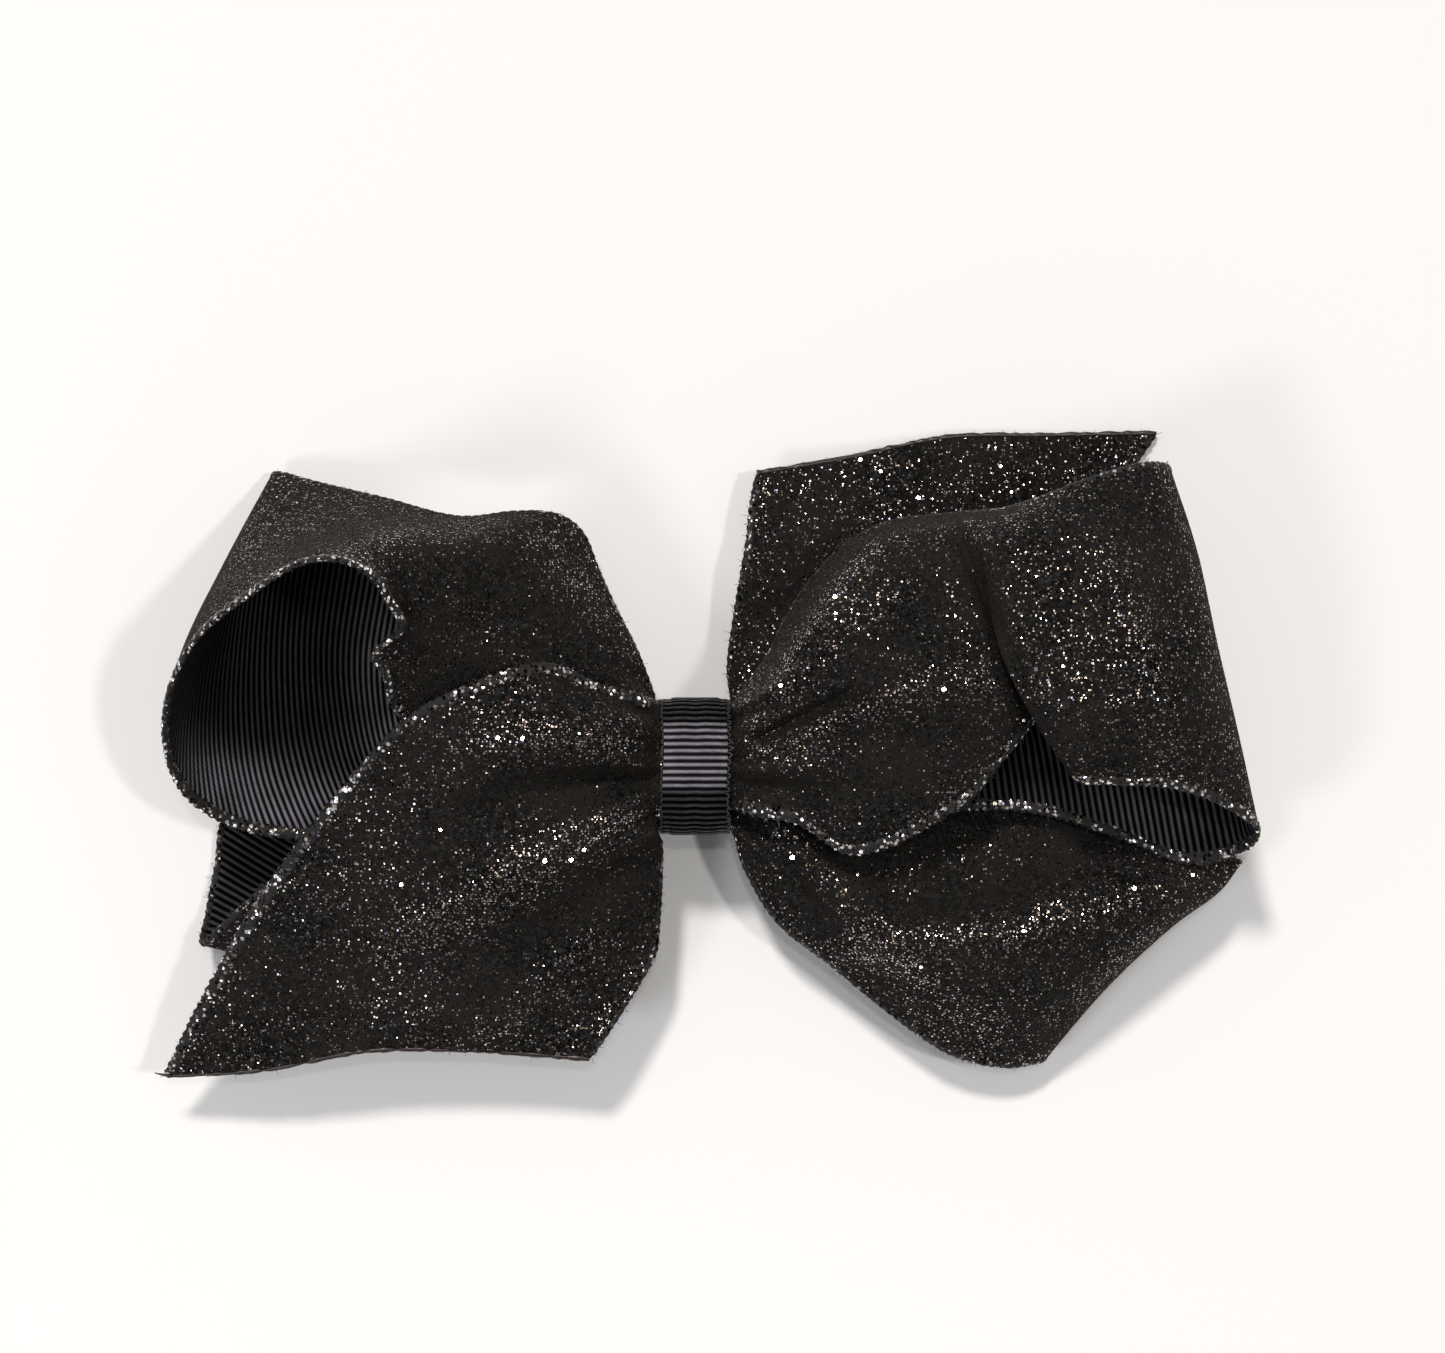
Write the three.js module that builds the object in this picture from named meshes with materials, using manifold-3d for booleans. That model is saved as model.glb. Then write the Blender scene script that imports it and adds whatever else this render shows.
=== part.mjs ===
// Cheer hair bow: one wide glitter ribbon passed five times through a gathered centre, which makes
// four loops and two tails, with a narrow grosgrain centre wrap and a sprung alligator clip at the back.
// Millimetres. The bow lies on its back: +Z out of its face, +X along its long axis, +Y towards the
// side of the upper tail. Origin: bottom centre of the bounding box.
import * as THREE from 'three';
import Module from 'manifold-3d';
import { mergeVertices } from 'three/addons/utils/BufferGeometryUtils.js';

// ---- driving dimensions -------------------------------------------------------------------------
const RIBBON_THICKNESS = 0.9;        // ribbon shells of the loops and tails
const SPAN_STEPS = 8;                // facets across the ribbon
const KNOT_X = -1.97;                // centre of the gathers
const KNOT_Y = -1.83;
const KNOT_Z = 16.0;
const GATHER_HALF_Y = 9.0;
const GATHER_HALF_Z = 7.0;
const GATHER_HALF_X = 4.5;
const WRAP_WIDTH = 9.5;              // 3/8 inch grosgrain
const WRAP_THICKNESS = 0.6;
const CLIP_LEVER_THICKNESS = 0.7;
const CLIP_WIDTH = 7.6;
const CLIP_X = 0.23;                 // the clip's own zero along X
const CLIP_PLATE_Z = 5.9;            // underside of the upper lever
const PIVOT_X = 8.5;
const PIVOT_Z = 3.5;
const PIN_RADIUS = 0.6;
const PIN_HOLE_RADIUS = 0.92;
const JAW_TIP_X = -24.5;
const THUMB_END_X = 20.0;
const SPRING_WIRE = 0.45;
const SPRING_RADIUS = 1.3;

// ---- materials ----------------------------------------------------------------------------------
const paint = (color, roughness, metalness) => new THREE.MeshStandardMaterial({ color, roughness, metalness });
const glitter = () => paint(0x1d1b1b, 0.75, 0.1);
const grosgrain = () => paint(0x17171b, 0.7, 0.0);
const steel = () => paint(0x8c8f94, 0.35, 1.0);
const thread = () => paint(0x141416, 0.8, 0.0);
const glue = () => paint(0xd8d2c2, 0.5, 0.0);
const rubber = () => paint(0x202022, 0.9, 0.0);

// ---- ribbon control points ----------------------------------------------------------------------
// Each row is one station along the ribbon; its five points run across the ribbon from one selvedge
// to the other. A loop runs out of the gathers, round its outer bend and back into the gathers.
const LOWER_LEFT_TAIL = [
  [[-7.6, 7.5, 17.8], [-7.4, 3.6, 21.5], [-7.4, -1.7, 22.5], [-7.4, -6.9, 21.5], [-7.6, -10.8, 17.4]],
  [[-9.9, 8.1, 20.9], [-10.1, 3.5, 24.7], [-9.9, -1.9, 24.5], [-9.2, -7.7, 22.5], [-7.0, -13.6, 14.9]],
  [[-15.9, 9.7, 25.8], [-16.4, 3.2, 29.0], [-15.6, -4.2, 26.0], [-12.5, -11.2, 23.3], [-7.0, -17.5, 13.4]],
  [[-23.4, 12.7, 29.1], [-24.8, 3.4, 30.5], [-23.1, -6.7, 26.8], [-16.8, -14.9, 23.9], [-7.1, -21.2, 12.9]],
  [[-32.2, 10.4, 29.9], [-33.4, 1.5, 30.0], [-30.0, -10.2, 26.8], [-21.2, -19.3, 23.4], [-7.4, -25.3, 12.9]],
  [[-43.0, 5.0, 29.9], [-43.2, -4.3, 27.6], [-37.8, -15.4, 25.5], [-25.1, -24.3, 22.4], [-7.9, -29.3, 13.4]],
  [[-53.4, -6.2, 25.9], [-51.1, -13.8, 24.4], [-42.7, -22.3, 22.4], [-28.6, -30.0, 20.5], [-9.8, -33.1, 13.9]],
  [[-64.6, -20.8, 20.4], [-58.6, -25.9, 19.9], [-47.5, -30.9, 18.9], [-31.3, -36.0, 18.1], [-12.4, -37.3, 14.4]],
  [[-73.8, -36.0, 15.3], [-65.2, -37.9, 16.4], [-52.9, -39.8, 16.4], [-34.5, -41.1, 16.3], [-14.8, -40.9, 14.8]],
  [[-80.1, -47.7, 10.3], [-65.5, -46.5, 13.4], [-50.2, -43.5, 15.4], [-34.0, -43.6, 14.8], [-17.4, -44.8, 14.2]],
];
const UPPER_LEFT_LOOP = [
  [[-7.7, -10.6, 15.5], [-7.6, -6.7, 18.7], [-7.6, -1.7, 19.7], [-7.6, 3.1, 18.8], [-7.7, 6.8, 14.9]],
  [[-14.4, -7.3, 18.8], [-13.7, -3.4, 21.2], [-12.5, 1.2, 22.1], [-10.5, 5.6, 20.5], [-8.3, 9.1, 14.7]],
  [[-24.5, -2.6, 20.0], [-22.6, 2.4, 23.2], [-19.7, 7.1, 24.5], [-15.7, 11.7, 22.8], [-10.7, 15.2, 13.4]],
  [[-35.3, 2.1, 22.2], [-31.8, 8.8, 24.8], [-26.8, 14.3, 26.7], [-20.6, 18.9, 23.5], [-14.1, 22.0, 12.4]],
  [[-43.9, 5.6, 25.9], [-38.5, 13.1, 28.5], [-31.9, 19.7, 28.6], [-24.3, 24.7, 24.0], [-16.5, 27.4, 11.3]],
  [[-45.7, 11.4, 31.4], [-40.8, 18.3, 32.4], [-34.3, 24.3, 30.7], [-27.0, 29.4, 23.7], [-18.7, 32.5, 11.6]],
  [[-44.6, 18.2, 36.9], [-42.3, 23.9, 35.4], [-37.1, 28.5, 31.5], [-30.2, 32.3, 22.2], [-22.5, 35.2, 12.8]],
  [[-46.0, 24.2, 41.4], [-44.2, 27.6, 36.4], [-40.6, 30.8, 29.4], [-35.3, 33.1, 20.2], [-28.5, 35.4, 13.0]],
  [[-50.6, 27.5, 44.4], [-49.2, 29.8, 36.9], [-46.6, 32.0, 27.9], [-43.3, 33.9, 18.9], [-37.0, 34.8, 11.6]],
  [[-56.9, 27.2, 44.4], [-55.9, 29.5, 36.4], [-54.0, 31.8, 27.4], [-51.6, 34.5, 18.4], [-48.3, 37.7, 9.4]],
  [[-63.5, 23.5, 41.9], [-63.0, 27.0, 34.4], [-61.9, 30.6, 25.9], [-60.6, 34.7, 16.9], [-57.9, 40.0, 6.9]],
  [[-72.1, 17.2, 36.4], [-71.1, 22.2, 29.4], [-69.4, 28.0, 21.4], [-67.3, 34.7, 12.4], [-64.7, 41.8, 3.8]],
  [[-76.9, 9.4, 30.9], [-75.5, 15.9, 23.9], [-72.8, 23.0, 16.4], [-69.2, 31.2, 8.4], [-64.5, 40.3, 1.4]],
  [[-78.3, 1.4, 25.4], [-76.0, 8.6, 18.9], [-72.6, 16.7, 11.8], [-68.2, 26.4, 5.4], [-61.9, 37.2, 0.6]],
  [[-76.0, -5.5, 20.9], [-73.1, 2.7, 14.8], [-69.1, 11.7, 9.0], [-63.9, 22.2, 4.2], [-57.1, 33.1, 0.6]],
  [[-69.7, -10.0, 17.4], [-66.8, -1.3, 12.2], [-62.6, 7.8, 7.4], [-57.7, 17.7, 3.6], [-50.5, 28.6, 1.2]],
  [[-61.4, -11.8, 16.0], [-58.9, -3.4, 11.8], [-55.4, 5.2, 8.0], [-51.0, 14.1, 4.8], [-43.9, 24.0, 2.6]],
  [[-49.7, -12.4, 15.4], [-48.2, -5.4, 13.0], [-45.7, 1.9, 10.6], [-41.8, 9.9, 7.8], [-35.6, 18.6, 5.7]],
  [[-35.0, -12.4, 15.5], [-34.2, -6.8, 15.2], [-32.4, -1.0, 14.4], [-29.6, 5.8, 13.2], [-24.9, 12.9, 11.6]],
  [[-19.6, -11.8, 15.0], [-19.1, -7.1, 16.8], [-18.5, -2.1, 17.2], [-17.1, 2.9, 16.3], [-14.5, 8.2, 14.0]],
  [[-7.7, -10.4, 13.3], [-7.7, -6.6, 15.9], [-7.6, -1.8, 16.9], [-7.6, 2.9, 16.1], [-7.7, 6.7, 13.3]],
];
const LOWER_LEFT_LOOP = [
  [[-7.7, 6.1, 10.9], [-7.7, 2.6, 13.2], [-7.7, -1.8, 14.1], [-7.7, -6.3, 13.2], [-7.7, -9.9, 10.8]],
  [[-16.0, 4.6, 11.6], [-15.4, -0.4, 14.0], [-14.2, -5.4, 13.8], [-12.5, -9.9, 12.3], [-9.9, -13.5, 9.5]],
  [[-27.9, 0.2, 11.2], [-26.3, -6.3, 12.8], [-23.7, -12.2, 13.2], [-19.6, -16.6, 12.4], [-14.6, -19.7, 10.6]],
  [[-41.2, -5.5, 11.4], [-38.8, -12.8, 11.9], [-34.3, -19.0, 12.2], [-28.2, -23.8, 11.6], [-20.2, -26.5, 10.7]],
  [[-53.7, -11.9, 12.0], [-50.0, -19.0, 12.0], [-44.1, -25.3, 11.6], [-36.2, -30.4, 10.6], [-26.5, -33.1, 10.2]],
  [[-64.5, -19.0, 12.0], [-59.5, -24.4, 11.8], [-52.2, -29.7, 11.0], [-43.1, -34.9, 9.8], [-31.0, -38.2, 9.2]],
  [[-72.0, -25.6, 10.9], [-66.1, -28.9, 10.6], [-57.4, -33.4, 9.6], [-46.8, -38.5, 8.4], [-32.9, -41.6, 7.2]],
  [[-75.5, -28.4, 6.9], [-69.0, -30.3, 6.8], [-59.5, -34.8, 6.4], [-48.2, -40.0, 5.8], [-33.6, -42.7, 4.9]],
  [[-75.3, -24.4, 3.0], [-68.2, -27.9, 3.0], [-58.6, -32.7, 3.0], [-47.2, -37.8, 2.8], [-32.8, -40.5, 2.8]],
  [[-74.1, -17.5, 1.4], [-66.1, -22.3, 0.8], [-56.1, -27.7, 0.8], [-45.0, -32.6, 0.8], [-30.8, -35.8, 1.9]],
  [[-72.1, -9.0, 2.8], [-62.7, -15.1, 1.2], [-52.2, -21.1, 0.8], [-41.7, -26.2, 0.8], [-28.0, -29.4, 2.7]],
  [[-62.6, -2.3, 5.4], [-53.9, -9.0, 2.6], [-43.7, -14.7, 1.8], [-34.4, -19.2, 2.3], [-23.2, -21.5, 4.3]],
  [[-47.4, 1.6, 7.4], [-40.2, -4.4, 4.9], [-32.1, -9.5, 4.7], [-25.2, -13.4, 5.4], [-17.4, -15.5, 6.1]],
  [[-31.0, 3.7, 7.8], [-26.5, -0.8, 8.6], [-21.5, -5.5, 9.0], [-17.3, -9.1, 8.7], [-12.6, -11.5, 7.5]],
  [[-17.6, 4.9, 9.1], [-15.8, 1.3, 10.8], [-14.0, -2.8, 11.1], [-11.9, -6.7, 10.3], [-9.6, -9.7, 8.1]],
  [[-7.8, 5.5, 8.7], [-7.7, 2.2, 10.7], [-7.7, -1.9, 11.5], [-7.7, -6.1, 10.7], [-7.8, -9.1, 8.7]],
];
const UPPER_RIGHT_LOOP = [
  [[3.7, 7.3, 17.3], [3.7, 3.3, 21.1], [3.7, -0.8, 22.5], [3.7, -4.6, 21.7], [3.9, -7.6, 19.1]],
  [[5.2, 9.4, 17.1], [5.8, 4.5, 23.5], [6.3, -0.2, 25.1], [6.6, -4.5, 24.1], [7.2, -8.2, 21.5]],
  [[8.8, 14.3, 14.5], [9.2, 9.4, 25.3], [10.9, 3.4, 27.8], [12.4, -3.0, 26.6], [13.3, -9.6, 23.1]],
  [[12.0, 20.8, 14.0], [13.2, 15.4, 26.7], [15.7, 7.1, 30.5], [17.8, -1.5, 29.3], [19.9, -13.7, 24.7]],
  [[16.1, 26.7, 14.1], [17.8, 21.8, 27.9], [21.1, 11.4, 32.5], [24.3, -0.0, 30.9], [26.2, -12.5, 26.2]],
  [[21.1, 31.4, 14.6], [23.0, 26.9, 28.7], [26.8, 15.1, 33.7], [30.0, 2.3, 31.7], [32.2, -9.3, 27.2]],
  [[27.0, 34.0, 15.6], [28.4, 30.0, 29.3], [32.1, 17.7, 34.6], [35.4, 5.7, 32.4], [38.0, -5.4, 27.6]],
  [[33.0, 34.8, 17.6], [34.1, 31.2, 30.5], [37.5, 18.2, 34.8], [41.1, 8.8, 32.4], [42.9, 0.5, 27.6]],
  [[38.9, 35.3, 21.4], [39.1, 31.4, 32.4], [42.4, 16.5, 33.8], [46.3, 9.4, 31.4], [47.5, 5.6, 26.4]],
  [[42.2, 35.4, 24.4], [41.5, 30.7, 34.0], [43.8, 16.0, 34.0], [48.3, 7.4, 31.0], [51.3, 6.8, 26.8]],
  [[44.9, 36.0, 26.8], [43.1, 30.7, 35.4], [42.5, 16.5, 36.4], [48.1, 5.7, 34.0], [51.8, 2.5, 30.0]],
  [[48.2, 37.1, 28.8], [46.4, 29.9, 36.8], [43.2, 15.8, 38.8], [47.3, 4.0, 37.0], [52.1, -2.8, 33.2]],
  [[52.6, 38.9, 30.8], [51.7, 29.2, 37.8], [49.3, 15.1, 39.4], [52.2, 4.1, 38.4], [58.1, -3.5, 33.8]],
  [[57.7, 40.6, 31.4], [58.3, 29.2, 37.4], [58.4, 15.8, 38.6], [61.9, 4.9, 38.0], [65.5, -4.0, 33.0]],
  [[62.7, 41.8, 30.0], [64.3, 30.0, 34.0], [66.4, 16.5, 35.6], [69.9, 4.6, 35.0], [72.1, -5.9, 30.8]],
  [[66.1, 41.7, 25.4], [69.2, 29.8, 28.4], [71.9, 16.6, 30.0], [75.2, 3.2, 29.0], [77.8, -8.9, 26.8]],
  [[66.6, 41.1, 20.0], [70.6, 29.4, 22.0], [73.1, 16.3, 23.4], [76.6, 2.1, 22.8], [79.7, -11.3, 22.0]],
  [[64.5, 39.6, 16.4], [68.8, 28.1, 17.4], [71.3, 15.2, 18.4], [74.8, 0.6, 18.0], [77.8, -13.8, 17.6]],
  [[59.1, 37.0, 14.8], [63.1, 24.9, 15.4], [65.1, 12.0, 15.8], [67.8, -1.8, 15.7], [70.0, -15.4, 16.6]],
  [[51.1, 32.9, 14.4], [54.4, 21.1, 14.8], [56.4, 9.3, 15.2], [58.4, -2.1, 15.2], [60.0, -11.8, 16.8]],
  [[40.7, 27.6, 14.4], [42.9, 17.3, 15.0], [44.6, 7.9, 16.0], [46.0, -0.6, 16.8], [47.1, -7.9, 17.8]],
  [[28.2, 21.7, 14.8], [29.6, 13.5, 15.9], [30.7, 6.1, 16.7], [31.8, -0.9, 17.6], [32.4, -7.6, 18.2]],
  [[15.7, 14.3, 15.6], [16.6, 8.5, 18.1], [17.5, 3.2, 19.4], [18.0, -2.0, 19.5], [18.4, -7.6, 18.9]],
  [[4.0, 6.7, 14.7], [4.0, 2.9, 18.3], [4.0, -0.8, 19.5], [4.0, -4.7, 18.9], [4.0, -7.7, 16.5]],
];
const LOWER_RIGHT_LOOP = [
  [[3.7, 6.4, 11.9], [3.7, 2.0, 14.7], [3.7, -2.4, 15.9], [3.6, -6.8, 14.9], [3.4, -11.2, 12.3]],
  [[12.0, 6.7, 12.2], [11.1, 1.4, 14.6], [9.9, -4.2, 15.9], [7.9, -10.3, 15.5], [5.4, -17.0, 11.3]],
  [[23.9, 5.8, 11.4], [22.0, -1.6, 13.7], [19.3, -9.4, 15.8], [14.9, -17.2, 18.6], [10.3, -25.0, 11.5]],
  [[35.8, 3.7, 10.5], [33.3, -4.8, 13.0], [29.2, -14.1, 17.3], [23.6, -23.6, 20.0], [18.3, -31.4, 10.9]],
  [[47.6, 0.2, 11.0], [44.4, -7.7, 13.8], [40.0, -18.1, 18.6], [33.5, -29.4, 20.1], [27.2, -38.7, 10.0]],
  [[59.3, -4.8, 12.0], [55.9, -12.4, 14.4], [50.7, -20.7, 19.8], [43.9, -31.7, 20.4], [35.6, -44.4, 9.1]],
  [[68.5, -9.9, 12.2], [64.5, -16.5, 15.8], [58.9, -23.3, 19.8], [51.3, -33.0, 19.0], [43.4, -46.6, 8.0]],
  [[75.8, -14.3, 12.3], [71.6, -18.5, 15.7], [65.2, -24.0, 17.8], [57.2, -32.7, 15.6], [48.9, -46.2, 6.2]],
  [[78.7, -16.1, 10.9], [75.0, -20.5, 12.2], [68.2, -25.5, 11.9], [59.0, -34.6, 9.8], [50.1, -45.9, 3.4]],
  [[76.5, -14.2, 6.9], [73.9, -19.0, 6.5], [67.4, -24.7, 5.8], [58.0, -33.2, 4.4], [49.2, -44.3, 1.4]],
  [[69.8, -9.8, 5.3], [66.1, -15.5, 4.2], [59.3, -21.6, 3.0], [50.4, -29.5, 2.2], [41.1, -39.2, 0.8]],
  [[60.0, -4.1, 5.4], [55.7, -10.8, 3.6], [48.9, -17.4, 2.4], [40.8, -24.7, 1.8], [32.1, -32.5, 1.3]],
  [[48.0, 0.4, 6.0], [43.9, -6.6, 4.4], [38.0, -13.5, 3.2], [30.8, -19.8, 3.0], [23.3, -25.8, 3.3]],
  [[35.2, 3.1, 7.5], [32.1, -3.2, 7.7], [27.3, -9.1, 7.8], [21.7, -14.5, 7.3], [16.3, -19.6, 6.3]],
  [[20.7, 4.6, 9.9], [19.2, -0.4, 11.1], [16.2, -5.4, 11.7], [12.7, -10.2, 11.0], [9.7, -14.7, 8.9]],
  [[3.7, 5.8, 10.3], [3.7, 1.7, 12.5], [3.7, -2.4, 13.5], [3.7, -6.6, 12.5], [3.7, -10.5, 10.1]],
];
const UPPER_RIGHT_TAIL = [
  [[3.7, 5.5, 7.9], [3.7, 1.9, 9.9], [3.7, -2.2, 10.9], [3.7, -6.4, 9.9], [3.7, -9.4, 7.9]],
  [[2.9, 12.0, 6.9], [6.5, 7.8, 8.3], [11.5, 3.1, 9.0], [16.3, -1.1, 8.9], [20.7, -4.9, 8.3]],
  [[3.9, 20.3, 6.9], [9.9, 16.2, 7.3], [16.6, 12.0, 7.5], [23.8, 7.8, 6.9], [31.3, 4.2, 5.1]],
  [[5.0, 26.4, 7.9], [12.7, 23.9, 6.6], [21.1, 21.0, 5.0], [30.2, 17.7, 3.3], [40.8, 15.0, 2.2]],
  [[5.9, 31.7, 7.1], [15.4, 30.2, 5.4], [25.7, 28.8, 3.4], [36.6, 26.7, 1.8], [49.2, 24.9, 1.4]],
  [[6.3, 36.5, 6.3], [17.9, 37.1, 4.4], [29.9, 36.9, 2.1], [42.3, 36.1, 1.2], [58.0, 34.9, 1.0]],
  [[7.2, 41.6, 5.5], [21.2, 44.1, 3.4], [36.0, 47.2, 1.3], [51.4, 47.5, 0.8], [67.3, 47.8, 1.0]],
];

// ---- surface helpers ----------------------------------------------------------------------------
const catmull = (a, b, c, d, f) => 0.5 * (2 * b + (c - a) * f + (2 * a - 5 * b + 4 * c - d) * f * f + (3 * b - a - 3 * c + d) * f * f * f);
function sampleRow(points, t) {
  const n = points.length;
  const i = Math.min(Math.max(Math.floor(t), 0), n - 2);
  const f = t - i;
  const at = (k) => (k < 0 ? points[0].map((v, m) => 2 * v - points[1][m])
    : k > n - 1 ? points[n - 1].map((v, m) => 2 * v - points[n - 2][m]) : points[k]);
  const [p0, p1, p2, p3] = [at(i - 1), at(i), at(i + 1), at(i + 2)];
  return [0, 1, 2].map((m) => catmull(p0[m], p1[m], p2[m], p3[m], f));
}
// the ribbon's middle surface as a grid of points, evenly spaced along its mean length
function ribbonGrid(table, steps) {
  const across = table.map((row) => Array.from({ length: SPAN_STEPS + 1 }, (_, j) => sampleRow(row, (j * (row.length - 1)) / SPAN_STEPS)));
  const column = (j) => across.map((row) => row[j]);
  const fine = (table.length - 1) * 8;
  const length = [0];
  let before = null;
  for (let k = 0; k <= fine; k++) {
    const t = (k * (table.length - 1)) / fine;
    const p = [0, 1, 2].map((m) => {
      let s = 0;
      for (let j = 0; j <= SPAN_STEPS; j++) s += sampleRow(column(j), t)[m];
      return s / (SPAN_STEPS + 1);
    });
    if (before) length.push(length[length.length - 1] + Math.hypot(p[0] - before[0], p[1] - before[1], p[2] - before[2]));
    before = p;
  }
  const total = length[fine];
  const grid = [];
  for (let i = 0; i <= steps; i++) {
    const want = (total * i) / steps;
    let k = 0;
    while (k < fine - 1 && length[k + 1] < want) k++;
    const f = (want - length[k]) / Math.max(length[k + 1] - length[k], 1e-9);
    const t = ((k + Math.min(Math.max(f, 0), 1)) * (table.length - 1)) / fine;
    grid.push(Array.from({ length: SPAN_STEPS + 1 }, (_, j) => new THREE.Vector3(...sampleRow(column(j), t))));
  }
  return grid;
}
// a closed shell of even thickness round the middle surface
function ribbonShell(table, steps) {
  const g = ribbonGrid(table, steps);
  const nu = g.length;
  const nv = g[0].length;
  const normal = (i, j) => {
    const a = g[Math.min(i + 1, nu - 1)][j].clone().sub(g[Math.max(i - 1, 0)][j]);
    const b = g[i][Math.min(j + 1, nv - 1)].clone().sub(g[i][Math.max(j - 1, 0)]);
    return a.cross(b).normalize();
  };
  const pos = [];
  const id = (side, i, j) => side * nu * nv + i * nv + j;
  for (const side of [1, -1]) {
    for (let i = 0; i < nu; i++) for (let j = 0; j < nv; j++) {
      const p = g[i][j].clone().addScaledVector(normal(i, j), (side * RIBBON_THICKNESS) / 2);
      pos.push(p.x, p.y, p.z);
    }
  }
  const index = [];
  const quad = (a, b, c, d) => index.push(a, b, c, a, c, d);
  for (let i = 0; i < nu - 1; i++) for (let j = 0; j < nv - 1; j++) {
    quad(id(0, i, j), id(0, i + 1, j), id(0, i + 1, j + 1), id(0, i, j + 1));
    quad(id(1, i, j), id(1, i, j + 1), id(1, i + 1, j + 1), id(1, i + 1, j));
  }
  for (let i = 0; i < nu - 1; i++) {
    quad(id(0, i, 0), id(1, i, 0), id(1, i + 1, 0), id(0, i + 1, 0));
    quad(id(0, i, nv - 1), id(0, i + 1, nv - 1), id(1, i + 1, nv - 1), id(1, i, nv - 1));
  }
  for (let j = 0; j < nv - 1; j++) {
    quad(id(0, 0, j), id(0, 0, j + 1), id(1, 0, j + 1), id(1, 0, j));
    quad(id(0, nu - 1, j), id(1, nu - 1, j), id(1, nu - 1, j + 1), id(0, nu - 1, j + 1));
  }
  const geometry = new THREE.BufferGeometry();
  geometry.setAttribute('position', new THREE.Float32BufferAttribute(pos, 3));
  geometry.setIndex(index);
  return geometry;
}

// ---- solid helpers ------------------------------------------------------------------------------
const wasm = await Module();
wasm.setup();
function toSolid(geometry) {
  let g = geometry.clone();
  g.deleteAttribute('normal');
  g.deleteAttribute('uv');
  g = mergeVertices(g, 1e-5);
  return new wasm.Manifold(new wasm.Mesh({
    numProp: 3,
    vertProperties: new Float32Array(g.attributes.position.array),
    triVerts: new Uint32Array(g.index.array),
  }));
}
function fromSolid(solid) {
  const m = solid.getMesh();
  const g = new THREE.BufferGeometry();
  const p = [];
  for (let i = 0; i < m.vertProperties.length; i += m.numProp) p.push(m.vertProperties[i], m.vertProperties[i + 1], m.vertProperties[i + 2]);
  g.setAttribute('position', new THREE.Float32BufferAttribute(p, 3));
  g.setIndex(Array.from(m.triVerts));
  g.computeVertexNormals();
  return g;
}
const box = (x0, x1, y0, y1, z0, z1) => new THREE.BoxGeometry(x1 - x0, y1 - y0, z1 - z0).translate((x0 + x1) / 2, (y0 + y1) / 2, (z0 + z1) / 2);
// a cylinder along Y about (x, z)
const rod = (radius, y0, y1, x, z, sides = 16) => new THREE.CylinderGeometry(radius, radius, y1 - y0, sides).translate(x, (y0 + y1) / 2, z);
// a profile drawn in X-Z and given its width along Y
function profileXZ(points, y0, y1) {
  const shape = new THREE.Shape(points.map(([x, z]) => new THREE.Vector2(x, z)));
  const g = new THREE.ExtrudeGeometry(shape, { depth: y1 - y0, bevelEnabled: false, steps: 1 });
  g.rotateX(Math.PI / 2);            // shape y -> z, depth -> -y
  g.translate(0, y1, 0);
  return g;
}
// a profile drawn in Y-Z and given its width along X
function profileYZ(points, x0, x1) {
  const shape = new THREE.Shape(points.map(([y, z]) => new THREE.Vector2(y, z)));
  const g = new THREE.ExtrudeGeometry(shape, { depth: x1 - x0, bevelEnabled: false, steps: 1 });
  g.rotateX(Math.PI / 2);
  g.rotateZ(Math.PI / 2);            // shape x -> y, shape y -> z, depth -> x
  g.translate(x0, 0, 0);
  return g;
}
// the outline of a strip of even thickness along an open path in a plane
function stripOutline(path, thickness) {
  const left = [];
  const right = [];
  for (let i = 0; i < path.length; i++) {
    const a = path[Math.max(i - 1, 0)];
    const b = path[Math.min(i + 1, path.length - 1)];
    const dx = b[0] - a[0];
    const dz = b[1] - a[1];
    const l = Math.hypot(dx, dz);
    let stretch = 1;
    if (i > 0 && i < path.length - 1) {
      const u = [path[i][0] - a[0], path[i][1] - a[1]];
      const lu = Math.hypot(...u);
      stretch = 1 / Math.max((u[0] * dx + u[1] * dz) / (lu * l), 0.5);
    }
    const nx = (-dz / l) * (thickness / 2) * stretch;
    const nz = (dx / l) * (thickness / 2) * stretch;
    left.push([path[i][0] + nx, path[i][1] + nz]);
    right.push([path[i][0] - nx, path[i][1] - nz]);
  }
  return left.concat(right.reverse());
}

const bow = new THREE.Group();
function add(parent, name, geometry, material) {
  const mesh = new THREE.Mesh(geometry, material);
  mesh.name = name;
  parent.add(mesh);
  return mesh;
}

// ---- the ribbon ---------------------------------------------------------------------------------
const ribbon = new THREE.Group();
bow.add(ribbon);
add(ribbon, 'lower_left_tail', ribbonShell(LOWER_LEFT_TAIL, 14), glitter());
add(ribbon, 'upper_left_loop', ribbonShell(UPPER_LEFT_LOOP, 34), glitter());
add(ribbon, 'lower_left_loop', ribbonShell(LOWER_LEFT_LOOP, 26), glitter());
add(ribbon, 'upper_right_loop', ribbonShell(UPPER_RIGHT_LOOP, 44), glitter());
add(ribbon, 'lower_right_loop', ribbonShell(LOWER_RIGHT_LOOP, 26), glitter());
add(ribbon, 'upper_right_tail', ribbonShell(UPPER_RIGHT_TAIL, 8), glitter());

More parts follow.
